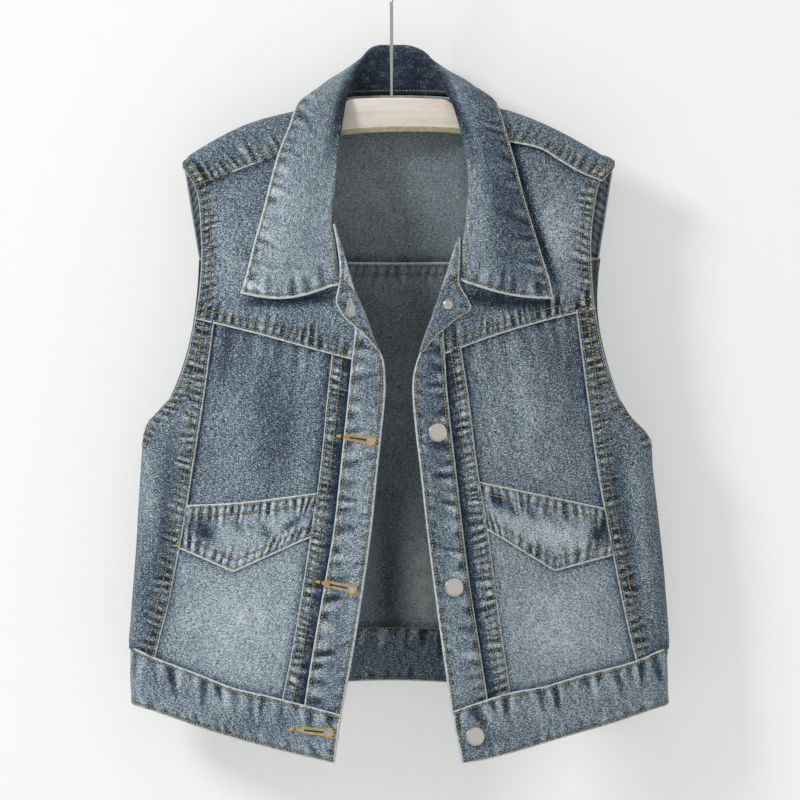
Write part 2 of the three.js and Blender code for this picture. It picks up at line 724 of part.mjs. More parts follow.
// Shank buttons on the left front: a flat cap with a rim outside, a small tack inside
const BUTTONS = table("x z", [[41, -424], [55.5, -563], [74.5, -697]]);
const TOP_BUTTON = { x: 50, z: -309, lift: 4.8 };
const BUTTON_CLEAR = 0.8; // between a button's flat base and the curved cloth under it

function capProfile() {
  const rim = CAP_RADIUS;
  const points = [[0, 0], [rim - 1.2, 0], [rim, 0.9], [rim, 1.8], [rim - 0.7, 2.4], [rim - 1.6, 2.1], [0, 2.3]];
  return new THREE.LatheGeometry(points.map(([r, h]) => new THREE.Vector2(r, h)), 20);
}

function tackProfile() {
  const points = [[0, 0], [TACK_RADIUS, 0], [TACK_RADIUS, 0.5], [TACK_RADIUS - 1.4, 1.2], [0, 1.5]];
  return new THREE.LatheGeometry(points.map(([r, h]) => new THREE.Vector2(r, h)), 14);
}

function frontNormal(front, x, z) {
  const step = 3;
  const slopeX = (front.depth(x + step, z) - front.depth(x - step, z)) / (2 * step);
  const slopeZ = (front.depth(x, z + step) - front.depth(x, z - step)) / (2 * step);
  return new THREE.Vector3(slopeX, -1, slopeZ).normalize();
}

function addDisc(name, geometry, x, z, out, offset, facing) {
  const disc = addPiece(name, geometry, NICKEL);
  disc.position.set(x, LEFT.depth(x, z), z).addScaledVector(out, offset);
  disc.quaternion.setFromUnitVectors(new THREE.Vector3(0, 1, 0), facing);
}

function addButtons() {
  const clear = DOUBLE / 2 + BUTTON_CLEAR;
  BUTTONS.forEach(({ x, z }, k) => {
    const out = frontNormal(LEFT, x, z);
    const level = k < BUTTONS.length - 1 ? PLACKET_LEVEL : ON_TOP;
    addDisc("button_cap_" + (k + 2), capProfile(), x, z, out, level + clear, out);
    addDisc("button_tack_" + (k + 2), tackProfile(), x, z, out, level - clear, out.clone().negate());
  });
  const { x, z, lift } = TOP_BUTTON;
  const out = frontNormal(LEFT, x, z);
  addDisc("button_tack_1", tackProfile(), x, z, out, lift + clear, out);
}

// The board follows the slope of the shoulders, just under the cloth
const BOARD_TOP = table("x z", [
  [-176, -175],
  [-137, -153],
  [-104, -142.5],
  [-58, -134],
  [-48, -128.5],
  [-37, -122],
  [0, HANGER_TOP],
  [47, -122],
  [58, -128],
  [70, -133.5],
  [103, -137.5],
  [130, -147],
  [158, -160],
  [187, -177],
]);
const BOARD_FOOT = table("x z", [
  [-176, -190],
  [-137, -175],
  [-100, -164],
  [-44, -155],
  [0, -152],
  [60, -153.5],
  [110, -163],
  [150, -178],
  [187, -194],
]);

function addHanger() {
  const top = curve(BOARD_TOP, "x", "z");
  const foot = curve(BOARD_FOOT, "x", "z");
  const from = BOARD_TOP[0].x;
  const to = BOARD_TOP[BOARD_TOP.length - 1].x;
  const xs = even(30).map((share) => lerp(from, to, share));
  const shape = new THREE.Shape();
  xs.forEach((x, k) => (k ? shape.lineTo(x, top(x)) : shape.moveTo(x, top(x))));
  [...xs].reverse().forEach((x) => shape.lineTo(x, foot(x)));
  const bevel = 1.5;
  const board = new THREE.ExtrudeGeometry(shape, {
    depth: BOARD_THICK - 2 * bevel,
    bevelEnabled: true,
    bevelThickness: bevel,
    bevelSize: bevel,
    bevelOffset: -bevel,
    bevelSegments: 2,
  });
  board.rotateX(Math.PI / 2);
  board.translate(0, BOARD_THICK / 2 - bevel, 0);
  addPiece("hanger", board, BEECH);
}

// A round hook of plain wire: up the stem, out to one side, over the top and a little down
function addHook() {
  const radius = HOOK_INNER + WIRE_RADIUS;
  const round = (degrees) => {
    const angle = THREE.MathUtils.degToRad(degrees);
    return new THREE.Vector3(radius * Math.cos(angle), 0, radius * Math.sin(angle) - HOOK_INNER);
  };
  const stem = [TABLE_ZERO + HANGER_TOP + SEAM_GAP, -110, -85, -62].map((z) => new THREE.Vector3(0, 0, z));
  const arc = [-45, -15, 15, 45, 75, 105, 135, 165, 190].map(round);
  const route = new THREE.CatmullRomCurve3([...stem, ...arc], false, "centripetal");
  const section = new THREE.Shape();
  section.absarc(0, 0, WIRE_RADIUS, 0, 2 * Math.PI);
  const hook = new THREE.ExtrudeGeometry(section, { steps: 40, curveSegments: 5, extrudePath: route });
  addPiece("hook", hook, WIRE, vest);
}

for (const [front, prefix] of [[RIGHT, "right"], [LEFT, "left"]]) {
  addFront(front, prefix);
  addPlacket(front, prefix);
  addPocket(front, prefix);
}
addLapel(RIGHT, RIGHT_LAPEL, "right");
addLapel(LEFT, LEFT_LAPEL, "left");
addBack();
addWaistband();
addCollar();
addButtons();
addHanger();
addHook();

export default vest;
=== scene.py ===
"""A sleeveless denim vest with a turned-down collar, hanging open on a wooden hanger.

The front faces -Y and the wearer's right side is at -X. The tables and grids below are in
millimetres from TABLE_ZERO, and meshes are made in metres. The origin is at the inside top of
the hook.
"""

import logging
import math
from dataclasses import dataclass, field, replace
from enum import Enum
from typing import Callable, Sequence

import bpy
import numpy as np
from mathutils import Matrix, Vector


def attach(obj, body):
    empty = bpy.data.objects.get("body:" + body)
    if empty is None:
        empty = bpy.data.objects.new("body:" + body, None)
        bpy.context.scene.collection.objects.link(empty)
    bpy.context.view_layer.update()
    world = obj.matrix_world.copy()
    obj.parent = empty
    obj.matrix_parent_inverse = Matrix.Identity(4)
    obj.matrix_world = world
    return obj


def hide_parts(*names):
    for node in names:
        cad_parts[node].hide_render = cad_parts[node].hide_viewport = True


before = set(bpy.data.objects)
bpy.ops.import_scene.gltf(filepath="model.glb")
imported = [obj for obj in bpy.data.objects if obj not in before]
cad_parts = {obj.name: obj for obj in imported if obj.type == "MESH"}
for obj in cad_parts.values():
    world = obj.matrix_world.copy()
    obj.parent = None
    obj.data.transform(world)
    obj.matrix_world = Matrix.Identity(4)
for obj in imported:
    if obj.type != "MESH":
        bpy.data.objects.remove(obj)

LOG = logging.getLogger("vest")
Array = np.ndarray
Line = Callable[[Array], Array]

MM = 0.001
TABLE_ZERO = -25.0  # height of the tables' zero below the inside top of the hook
CLOTH = 1.2  # one layer of denim with its turned edges
DOUBLE = 2.2  # collar, waistband, placket and lapel
SEAM_GAP = 0.3
ON_TOP = 0.8  # how far a lapped piece stands out from the panel beside it
PLACKET_LEVEL = ON_TOP + 0.5
POCKET_LIFT = 1.9
VEE_LIFT = 2.3
SIDE_ROUND = 10.0
ARMHOLE_FOOT = -432.0
ROUND_STARTS = -388.0
SIDE_WAIST = -616.0
SIDE_HEM = -669.0
NECK_FOOT = -150.0  # the height of the neck's lowest part behind the board
PLACKET_TOP = -296.0
ROLL_ENDS = -345.0
RIDGE_HALF = 8.5
RIDGE_DROP = 5.0
COLLAR_FOLD = 4.0
EYE_RADIUS = 4.0  # the round end of a buttonhole
CORD_RADIUS = 0.55
WHIP_RADIUS = 0.42
BOARD_THICK = 10.0
CAP_RADIUS = 8.5
TACK_RADIUS = 4.7
WIRE_RADIUS = 1.6
HOOK_INNER = 20.0
HANGER_TOP = -120.0
CELL = 2.0  # side of a cell in the finest grids
BACK_CELL = 2.8
BAND_CELL = 1.8
PATCH_TURNS = 12  # enough for a patch's two pairs of lines to agree
# Folds: a painted highlight on each ridge and painted shade in each trough
FOLD_LIGHT_AND_SHADE = 0.13  # how much paler a crease is for each millimetre that it stands out
STITCH_PITCH = 3.1
STITCH_SEED = 7
CAMERA_AT = (0.00765, -10.045, -0.4195)  # metres
LAMPS_FACE = (0, 0, -0.4)  # metres

# Tables of the front: z, then x of the armhole and side
RIGHT_OUTER = (
    (-181, -188), (-207, -176), (-234, -172.5), (-268, -171.5), (-302, -174), (-321, -177),
    (-355, -184.5), (-388, -196.5), (-404, -208.5), (-417, -219.5), (-432, -223.5),
    (-467, -226.5), (-527, -230), (-587, -234.5), (-639, -238), (-669, -236.5),
)
# z outer
LEFT_OUTER = (
    (-183, 197), (-197, 188.5), (-224, 182.5), (-259, 180), (-302, 182.5), (-343, 189),
    (-386, 202), (-411, 215.5), (-424, 228), (-434, 233.5), (-458, 235.5), (-502, 240.5),
    (-545, 245), (-618, 250.5), (-669, 252),
)
# z panel strip placket
RIGHT_SEAMS = (
    (-330, -160, -51, -33), (-390, -168, -57.5, -39), (-457, -178.5, -64.5, -46),
    (-511, -187, -72.5, -52), (-565, -197.5, -80.5, -61), (-619, -210.5, -89, -70.5),
    (-673, -225, -100, -79),
)
# z panel strip placket
LEFT_SEAMS = (
    (-330, 168, 59.5, 47), (-390, 176, 69, 50.5), (-457, 185, 77.5, 57.5),
    (-511, 194.5, 86.5, 63.5), (-565, 205, 93.5, 70.5), (-619, 217, 101, 79.5),
    (-673, 232, 109, 88),
)
# z inner
RIGHT_NECK = (
    (-140, -56), (-158, -58), (-192, -59.5), (-212, -59.5), (-228, -59), (-250, -54.5),
    (-270, -48), (-292, -42), (-306, -38), (-330, -33), (-360, -36),
)
# z inner
LEFT_NECK = (
    (-140, 68), (-158, 73), (-192, 77), (-212, 75), (-235, 67), (-260, 59), (-285, 52),
    (-310, 47.5), (-330, 46.5), (-360, 48.5),
)
# z edge
RIGHT_EDGE = (
    (-285, -37), (-315, -24), (-343, -13.5), (-358, -7), (-374, -5.2), (-390, -5.2),
    (-424, -8.5), (-457, -12), (-511, -17.5), (-565, -25), (-619, -33.5), (-676, -44),
    (-721, -51),
)
# z edge
LEFT_EDGE = (
    (-285, 48.5), (-315, 38), (-341, 30), (-355, 24), (-371, 19.5), (-388, 18.5), (-424, 21.5),
    (-457, 25.5), (-511, 31.5), (-560, 37.5), (-619, 45.5), (-676, 54), (-721, 63),
)
# z outer middle edge
FRONT_DEPTH = (
    (-158, -3, -8, -9), (-192, -7, -17, -25), (-228, -13, -25, -38), (-290, -17, -32, -45),
    (-330, -17, -36, -49), (-390, -13, -38, -54), (-457, -10, -38, -58), (-565, -10, -40, -62),
    (-721, -10, -43, -66),
)
# z outer middle
BACK_DEPTH = (
    (-118, 6, 20), (-160, 8, 26), (-207, 10, 31), (-268, 14, 35), (-321, 15, 37), (-390, 12, 38),
    (-457, 10, 38), (-669, 10, 36),
)
# x1 z1 x2 z2 reach rise
FRONT_FOLDS = (
    (-214, -445, -222, -585, 11, 3.0), (-196, -420, -206, -560, 9, -2.5),
    (-128, -350, -140, -455, 16, 2.2), (-88, -390, -104, -470, 13, -2.0),
    (-55, -420, -78, -600, 7, -2.2), (-150, -215, -140, -300, 15, 2.4),
    (219, -450, 232, -580, 11, 3.2), (202, -425, 216, -560, 9, -2.8),
    (118, -345, 128, -450, 15, 2.4), (160, -350, 168, -440, 12, -2.2),
    (58, -400, 82, -640, 7, -3.0), (150, -205, 148, -290, 14, 2.6),
)
# x1 z1 x2 z2 reach rise
BACK_FOLDS = (
    (-150, -300, -165, -590, 22, 4.0), (-70, -330, -82, -600, 20, -3.4),
    (20, -310, 14, -590, 24, 3.6), (95, -320, 112, -600, 20, -3.6),
    (170, -310, 188, -590, 20, 3.8),
)
# x z
BACK_YOKE_SEAM = ((-174, -266), (0, -270), (187, -266))
# x z
BACK_WAIST = ((-236, -616), (-150, -607), (0, -598), (150, -607), (250, -616))
# x z
BACK_HEM = ((-236, -669), (-150, -659), (0, -649), (150, -659), (252, -669))
# topX topY topZ ridgeX ridgeZ lowX
YOKE_LINES = (
    (190, -7, -196.7, 201, -180, 187.5), (171, -12, -189.7, 186, -172, 166),
    (153, -14, -179.7, 157.5, -156, 148), (134, -15, -168.2, 130, -143, 128),
    (107, -14, -162.2, 103, -133.5, 104), (73, -12, -156.7, 73, -128.5, 78),
    (72, -8, -135, 72, -128.5, 71), (70.5, -4, -129.8, 70.5, -128.3, 65),
    (67, 3.5, -129, 65, -130, 58), (55, 12, -122.5, 52, -126, 44),
    (28, 19.5, -119.4, 27, -124, 24), (2, 21.5, -119, 2, -124, 2),
    (-22, 19.5, -119.4, -20, -124, -22), (-43, 12, -122.5, -41, -126, -42),
    (-54, 3.5, -129, -52, -130, -54), (-56.5, -4, -130.2, -56.5, -128.8, -62),
    (-57, -8, -135, -57, -129, -68), (-57.5, -9, -157.7, -58, -129, -75),
    (-105, -13, -175.7, -104, -138.5, -104), (-134, -13, -185.7, -136.5, -149, -134),
    (-159, -10, -196.2, -172, -168, -158), (-175.5, -7, -202.7, -188, -181, -174),
)
# neckX neckY neckZ rollX rollY rollZ edgeX edgeY edgeZ swell drop
COLLAR = (
    (63, -49, -286, 65, -50, -289, 146, -33, -303.5, 2, -4),
    (64, -46, -258, 66, -48.5, -258, 142.5, -33, -287, 2, -2),
    (69, -41, -228, 68, -45.5, -226, 134.5, -32, -262, 3, 0),
    (74, -33, -206, 68.5, -40.5, -204, 126.5, -30, -236, 4, 0),
    (75, -26, -183, 67, -33, -180, 118.5, -28, -209, 4, 0),
    (72, -17, -158, 62.5, -25, -157, 111.5, -23, -181, 5, 0),
    (68.5, -10, -136, 54.5, -15, -129, 103, -18, -152, 6, 0),
    (68, -7, -126.5, 50.5, -10, -121, 98.5, -13, -137, 7, 0),
    (64, -1, -121, 47, -4, -114, 93, -1, -125.5, 8, 0),
    (56, 8, -118.5, 40, 8, -97, 82, 19, -137, 13, 0),
    (42, 15, -118, 31, 16, -80, 64, 32, -149, 12, 0),
    (21, 20, -117.6, 17, 20.5, -72, 36, 42, -158, 7, 0),
    (1, 22, -117.5, 1, 22, -71, 1, 45, -162, 5, 0),
    (-18, 20, -117.6, -14, 20.5, -72, -32, 42, -159, 7, 0),
    (-33, 15, -118, -23, 16, -80, -57, 32, -150, 12, 0),
    (-44, 8, -118.5, -31, 8, -96, -72, 19, -139, 13, 0),
    (-52, -1, -121, -36.5, -4, -113, -83, -1, -127, 8, 0),
    (-54.5, -7, -126.5, -38.5, -9.5, -121, -88, -13, -136, 7, 0),
    (-55, -10, -136, -40.5, -14, -131, -92.5, -17, -148, 6, 0),
    (-56, -16, -158, -44.5, -24, -157, -102, -21, -172, 5, 0),
    (-57, -25, -183, -47.5, -32, -180, -109.5, -26, -199, 4, 0),
    (-57.5, -32, -206, -50, -39, -204, -116.5, -29, -227, 4, 0),
    (-56, -39, -228, -54, -43, -227, -124, -31, -254, 3, 0),
    (-50.5, -45.5, -258, -52, -47.5, -258, -131, -31, -282, 2, -4),
    (-46.5, -48, -291, -49, -49.5, -292, -136, -31, -298.5, 2, -8),
)
# z roll free lift
RIGHT_LAPEL = (
    (-236, -50.5, -52.5, 4), (-258, -44, -48.5, 4), (-277, -38.5, -46.5, 4),
    (-291, -34.5, -47.5, 4), (-304, -29.5, -50, 4.5), (-311, -26.5, -48.5, 4.8), (-322, -22.5, -41, 5),
    (-335, -17, -25.5, 5), (-349, -11.5, -13.5, 4.5),
)
# z roll free lift
LEFT_LAPEL = (
    (-248, 60, 62, 4), (-262, 55, 62, 4), (-277, 50.5, 61.5, 4), (-290, 46, 61.5, 4),
    (-304, 41.5, 69, 4.5), (-312, 38.7, 71.6, 5), (-315, 37.6, 69.2, 5), (-320, 36, 61, 5),
    (-328, 33, 51, 5), (-340, 28.5, 37.5, 5), (-351, 25, 29, 4.5),
)
# The back of the top buttonhole, which shows on the right lapel, as x and z of its two ends
TOP_HOLE = ((-37.2, -300.5), (-36.2, -319.0))
# The stitched edge of each lapel's facing, as x and z, and where the cloth below it starts
FACING_SEAMS = {
    -1: ((-46.5, -283), (-40, -290), (-33.8, -297.3)),
    1: ((60.5, -282.5), (53.4, -287.9), (45.5, -296.4)),
}
# x z
BOARD_TOP = (
    (-176, -175), (-137, -153), (-104, -142.5), (-58, -134), (-48, -128.5), (-37, -122),
    (47, -122), (58, -128), (70, -133.5), (103, -137.5), (130, -147), (158, -160), (187, -177),
)
# x z along each seam that runs across
RIGHT_ACROSS = {
    "shoulder": ((-176, -203), (-159, -196.5), (-134, -186), (-105, -176), (-57, -158)),
    "yoke": ((-177, -321.5), (-150, -328), (-99, -341), (-37, -358)),
    "mouth": ((-182, -489), (-150, -487.5), (-116, -484.5), (-68, -478)),
    "vee": ((-189, -529.5), (-141.5, -550), (-75, -519.5)),
    "waist": ((-236, -616), (-214, -626), (-176, -640), (-142, -653), (-107, -661), (-44, -677)),
    "hem": ((-236, -669), (-210, -677), (-167, -691.5), (-124, -704), (-59, -719.5), (-51, -721)),
}
LEFT_ACROSS = {
    "shoulder": ((73, -157), (107, -162.5), (134, -168.5), (153, -180), (171, -190), (190, -197)),
    "yoke": ((48.5, -353), (85, -339.5), (136, -324), (184, -312.5)),
    "mouth": ((79, -468), (136, -480), (190, -491.5)),
    "vee": ((86.5, -512), (146.5, -549), (198.5, -535)),
    "waist": ((250, -616), (219, -629.5), (170, -642), (136, -652), (105, -657.5), (53.5, -674)),
    "hem": ((252, -669), (230, -676), (196, -687), (153, -699), (110, -711.5), (81, -718.5), (63, -721)),
}

# The board's lower edge, as x and z
BOARD_FOOT = (
    (-176, -190), (-137, -175), (-100, -164), (-44, -155), (0, -152), (60, -153.5),
    (110, -163), (150, -178), (187, -194),
)
# Smaller creases, drawn like the folds: x1 z1 x2 z2 reach rise
FRONT_CREASES = (
    (-190, -230, -120, -250, 8, 1.1), (-165, -215, -100, -300, 7, -0.9), (-185, -300, -120, -322, 8, 1.0),
    (-214, -470, -206, -610, 6, 1.2), (-204, -455, -196, -600, 5, -1.0), (-226, -500, -222, -600, 5, -1.1),
    (-155, -345, -162, -440, 7, 0.9), (-112, -360, -118, -430, 6, -0.9), (-75, -370, -82, -470, 6, 0.8),
    (-140, -575, -150, -645, 10, 0.9), (-100, -560, -112, -650, 9, -0.9), (-22, -400, -34, -560, 6, 0.7),
    (190, -225, 130, -245, 8, 1.2), (168, -210, 100, -290, 7, -1.0), (176, -290, 120, -318, 8, 1.0),
    (226, -470, 236, -600, 6, 1.3), (212, -470, 224, -615, 5, -1.2), (240, -500, 246, -600, 5, -1.1),
    (150, -340, 158, -430, 7, 0.9), (108, -350, 114, -440, 6, -1.0), (88, -360, 98, -455, 6, 0.9),
    (150, -570, 164, -640, 10, 0.9), (116, -560, 128, -650, 9, -0.9), (30, -420, 44, -560, 6, 0.8),
)
# x1 z1 x2 z2 reach rise
BACK_CREASES = (
    (-185, -300, -190, -560, 9, 1.3), (-120, -290, -128, -430, 10, -1.2), (-40, -300, -46, -420, 9, 1.1),
    (55, -300, 60, -460, 10, -1.2), (130, -290, 142, -520, 9, 1.3), (205, -330, 214, -560, 8, -1.2),
    (-100, -450, -60, -590, 9, 1.1), (60, -470, 90, -590, 9, 1.2), (-20, -470, -10, -590, 8, -1.0),
)
# How the wash has faded the cloth: x z reachX reachZ change
FRONT_WASHES = (
    (-115, -400, 40, 60, -0.4), (-150, -350, 25, 30, -0.35), (-60, -430, 12, 90, -0.15),
    (-140, -245, 60, 40, 0.05), (150, -245, 60, 40, 0.4), (-48, -600, 9, 80, -0.35), (70, -600, 9, 90, -0.2),
    (-18, -420, 14, 200, -0.2), (38, -420, 16, 200, -0.6),
    (-190, -440, 18, 40, -0.15), (-215, -560, 16, 60, -0.75), (-130, -595, 45, 35, 0.3),
    (-90, -510, 30, 12, 0.5), (-130, -515, 25, 14, 0.2), (-170, -508, 12, 12, -0.8),
    (-20, -460, 10, 60, 0.2), (-30, -560, 12, 50, 0.1), (-110, -300, 60, 25, 0.25),
    (-120, -690, 60, 14, -0.4), (-200, -650, 30, 14, -0.2),
    (120, -420, 45, 60, 0.12), (150, -350, 25, 30, -0.35),
    (205, -440, 18, 40, -0.1), (228, -540, 20, 80, -0.4), (140, -595, 45, 35, 0.35),
    (110, -500, 25, 14, 0.4), (150, -515, 25, 14, 0.6), (188, -510, 10, 14, -0.8),
    (32, -460, 10, 60, 0.15), (42, -600, 12, 40, 0.1), (120, -295, 60, 25, 0.2),
    (160, -690, 60, 14, -0.05), (90, -700, 30, 12, -0.3),
)
# Painted shadow that the collar's leaves cast on the cloth beside and below them: x1 z1 x2 z2 reach change
COLLAR_CAST_SHADOW = (
    (-134, -306, -90, -307, 5.0, -1.4), (-96, -307, -46, -300, 5.0, -1.6), (66, -300, 106, -308, 6.5, -1.7),
    (98, -307, 148, -309, 5.0, -1.6), (97, -132, 118, -200, 4.5, -1.2), (114, -188, 138, -262, 4.5, -1.4),
    (132, -244, 150, -296, 4.0, -1.3),
)
# Smudges that run down from the pocket's mouth: x1 z1 x2 z2 reach change
POCKET_STREAKS = (
    (-117.5, -508, -108, -519, 4.5, -1.3), (-98.6, -513, -80, -499, 4.0, -1.5),
    (-141.8, -502, -134, -514, 4.5, -1.0),
    (-177, -508, -162, -519, 6.0, -1.2), (-128, -505, -122, -514, 3.0, -0.7), (-90, -520, -74, -508, 3.0, -0.9),
    (91.4, -479, 97, -493, 3.6, -1.5), (100.4, -485, 113, -499, 4.2, -1.5), (120, -490, 129, -502, 4.0, -1.2),
    (140, -496, 147, -506, 3.5, -0.8), (184, -508, 186, -522, 6.0, -1.2), (160, -500, 165, -512, 3.5, -0.6),
)
# x z reachX reachZ change
BACK_WASHES = (
    (-120, -420, 60, 90, 0.3), (90, -430, 60, 90, 0.3), (0, -540, 90, 40, 0.25), (-60, -210, 60, 30, 0.25),
    (80, -210, 60, 30, 0.25), (0, -330, 80, 30, -0.2), (-190, -520, 20, 70, -0.3), (205, -520, 20, 70, -0.3),
)
# Painted shadow and painted light on the back's inside alone, in the same columns
LINING_LIGHT_AND_SHADE = (
    (-2, -560, 12, 70, -1.1), (30, -560, 15, 80, 1.0), (10, -380, 25, 60, 0.3),
)
# How the wash has faded the collar, with painted shade over the +X leaf, which faces away from the light: x z reachX
# reachZ change
COLLAR_WASH_AND_SHADE = (
    (-110, -230, 25, 50, 0.25), (112, -205, 90, 130, -0.8), (-90, -140, 25, 30, -0.2), (88, -285, 16, 14, 0.4),
)
# Each buttonhole: the end of its slit, then the end of its eye, as x and z
BUTTONHOLES = (
    ((-46.5, -427.0), (-14.5, -431.5)),
    ((-65.5, -558.0), (-31.5, -565.5)),
    ((-89.0, -690.0), (-52.5, -694.0)),
)
# x z of the caps, and x z lift of the top button's tack
BUTTONS = ((41.0, -424.0), (55.5, -563.0), (74.5, -697.0))
TOP_BUTTON = (50.0, -309.0, 4.8)
# z and x of the back's armholes, above the part that they share with the fronts
RIGHT_BACK_OUTER = (
    (-181, -188), (-207, -183), (-232, -175.5), (-270, -174), (-320, -178.5), (-355, -186), (-388, -198),
)
LEFT_BACK_OUTER = (
    (-180, 201), (-199, 200.5), (-233, 194.5), (-276, 187.5), (-311, 186), (-343, 190.5), (-386, 203),
)


def lerp(a, b, t):
    """Goes from a to b as t goes from 0 to 1."""
    return a + (b - a) * t


def smooth(x, low: float, high: float) -> Array:
    """Goes softly from 0 at low to 1 at high."""
    t = np.clip((np.asarray(x, float) - low) / (high - low), 0, 1)
    return t * t * (3 - 2 * t)


def bend_through(start, end, leave, arrive, step, t) -> Array:
    """A smooth stretch between two values.

    Args:
        start: the value at its start.
        end: the value at its end.
        leave: the slope at its start.
        arrive: the slope at its end.
        step: how long it is.
        t: how far along it, from 0 to 1.

    Returns:
        The value there.
    """
    rise = (end - start) / step
    bend = t * (1 - t) * step
    return lerp(start, end, t) + bend * ((1 - t) * (leave - rise) - t * (arrive - rise))


@dataclass(frozen=True)
class Curve:
    """A smooth line through a few points, carried on straight past its ends."""

    xs: Array
    ys: Array
    slopes: Array

    @classmethod
    def through(cls, rows: Sequence[Sequence[float]], at: int = 0, value: int = 1) -> "Curve":
        """Makes a curve from a table.

        Args:
            rows: the table's rows.
            at: the column that the curve is read against.
            value: the column that it gives.

        Returns:
            The curve.
        """
        pairs = np.array(sorted((row[at], row[value]) for row in rows), float)
        xs, ys = pairs[:, 0], pairs[:, 1]
        k = np.arange(len(xs))
        low, high = np.maximum(k - 1, 0), np.minimum(k + 1, len(xs) - 1)
        return cls(xs, ys, (ys[high] - ys[low]) / (xs[high] - xs[low]))

    def __call__(self, x) -> Array:
        x = np.asarray(x, float)
        xs, ys, slopes = self.xs, self.ys, self.slopes
        k = np.clip(np.searchsorted(xs, x, side="right") - 1, 0, len(xs) - 2)
        step = xs[k + 1] - xs[k]
        inside = bend_through(ys[k], ys[k + 1], slopes[k], slopes[k + 1], step, (x - xs[k]) / step)
        low = ys[0] + slopes[0] * (x - xs[0])
        high = ys[-1] + slopes[-1] * (x - xs[-1])
        return np.where(x <= xs[0], low, np.where(x >= xs[-1], high, inside))


def polyline(rows: Sequence[Sequence[float]]) -> Line:
    """A line of straight stretches through a table of x and z, carried on past its ends."""
    pairs = np.array(sorted(rows), float)
    xs, ys = pairs[:, 0], pairs[:, 1]

    def line(x):
        x = np.asarray(x, float)
        k = np.clip(np.searchsorted(xs, x, side="right") - 1, 0, len(xs) - 2)
        return lerp(ys[k], ys[k + 1], (x - xs[k]) / (xs[k + 1] - xs[k]))

    return line


def fold_rise(folds: Sequence[Sequence[float]], x: Array, z: Array) -> Array:
    """The height of all soft folds at a place.

    Args:
        folds: rows of x1 z1 x2 z2 reach rise, a ridge above zero and a trough below.
        x: places across.
        z: heights.

    Returns:
        The summed rise in millimetres.
    """
    total = np.zeros(np.broadcast(x, z).shape)
    for x1, z1, x2, z2, reach, rise in folds:
        along_x, along_z = x2 - x1, z2 - z1
        share = ((x - x1) * along_x + (z - z1) * along_z) / (along_x**2 + along_z**2)
        near = np.clip(share, 0, 1)
        off = np.hypot(x - x1 - near * along_x, z - z1 - near * along_z)
        tail = np.sin(np.pi * np.clip(0.12 + 0.76 * near, 0, 1))
        total += rise * tail * np.exp(-((off / reach) ** 2))
    return total


def wash_at(washes: Sequence[Sequence[float]], x: Array, z: Array) -> Array:
    """How much paler or darker the wash has left the cloth at a place.

    Args:
        washes: rows of x z reachX reachZ change.
        x: places across.
        z: heights.

    Returns:
        The summed change, above zero where paler.
    """
    total = np.zeros(np.broadcast(x, z).shape)
    for x0, z0, reach_x, reach_z, change in washes:
        total += change * np.exp(-(((x - x0) / reach_x) ** 2) - ((z - z0) / reach_z) ** 2)
    return total


def bow(start, middle, end, u) -> Array:
    """A value that passes through three depths at 0, 1/2 and 1."""
    return start * (1 - 2 * u) * (1 - u) + middle * 4 * u * (1 - u) + end * u * (2 * u - 1)


def side_round(distance: Array, depth: Array, z: Array) -> Array:
    """The quarter round at the side, from the side's plane to the face of the cloth."""
    share = np.clip((distance - SEAM_GAP / 2) / SIDE_ROUND, 0, 1)
    below = 1 - smooth(z, ARMHOLE_FOOT, ROUND_STARTS)
    return depth * below * (1 - np.sqrt(1 - (1 - share) ** 2))


class Front:
    """One front, as curves that give the x of its long seams and the z of its cross seams."""

    def __init__(self, outer, seams, neck, edge, across: dict):
        self.side = 1 if outer[0][1] > 0 else -1
        self.prefix = "left" if self.side > 0 else "right"
        self.outer = Curve.through(outer)
        self.panel, self.strip, self.placket = (Curve.through(seams, 0, k) for k in (1, 2, 3))
        self.neck = Curve.through(neck)
        self.edge = Curve.through(edge)
        names = ("shoulder", "yoke", "mouth", "waist", "hem")
        self.shoulder, self.yoke, self.mouth, self.waist, self.hem = (Curve.through(across[k]) for k in names)
        self.vee = polyline(across["vee"])
        self.depths = [Curve.through(FRONT_DEPTH, 0, k) for k in (1, 2, 3)]

    def depth(self, x: Array, z: Array) -> Array:
        """The y of the front's middle surface at a place."""
        outer = self.outer(z)
        inner = lerp(self.edge(z), self.neck(z), smooth(z, ROLL_ENDS - 10, ROLL_ENDS + 10))
        u = np.clip((x - outer) / (inner - outer), 0, 1.15)
        low, middle, high = (curve(z) for curve in self.depths)
        distance = np.abs(x - outer)
        fold = fold_rise(FRONT_FOLDS + FRONT_CREASES, x, z) * np.clip(distance / SIDE_ROUND, 0, 1)
        return bow(low, middle, high, u) - fold + side_round(distance, -low - SEAM_GAP, z)

    def point(self, x: float, z: float) -> Vector:
        """The point of the middle surface at a place."""
        return Vector((x, float(self.depth(x, z)), z))

    def normal(self, x: float, z: float) -> Vector:
        """The direction out of the cloth at a place."""
        step = 3.0
        slope_x = (self.depth(x + step, z) - self.depth(x - step, z)) / (2 * step)
        slope_z = (self.depth(x, z + step) - self.depth(x, z - step)) / (2 * step)
        return Vector((float(slope_x), -1.0, float(slope_z))).normalized()


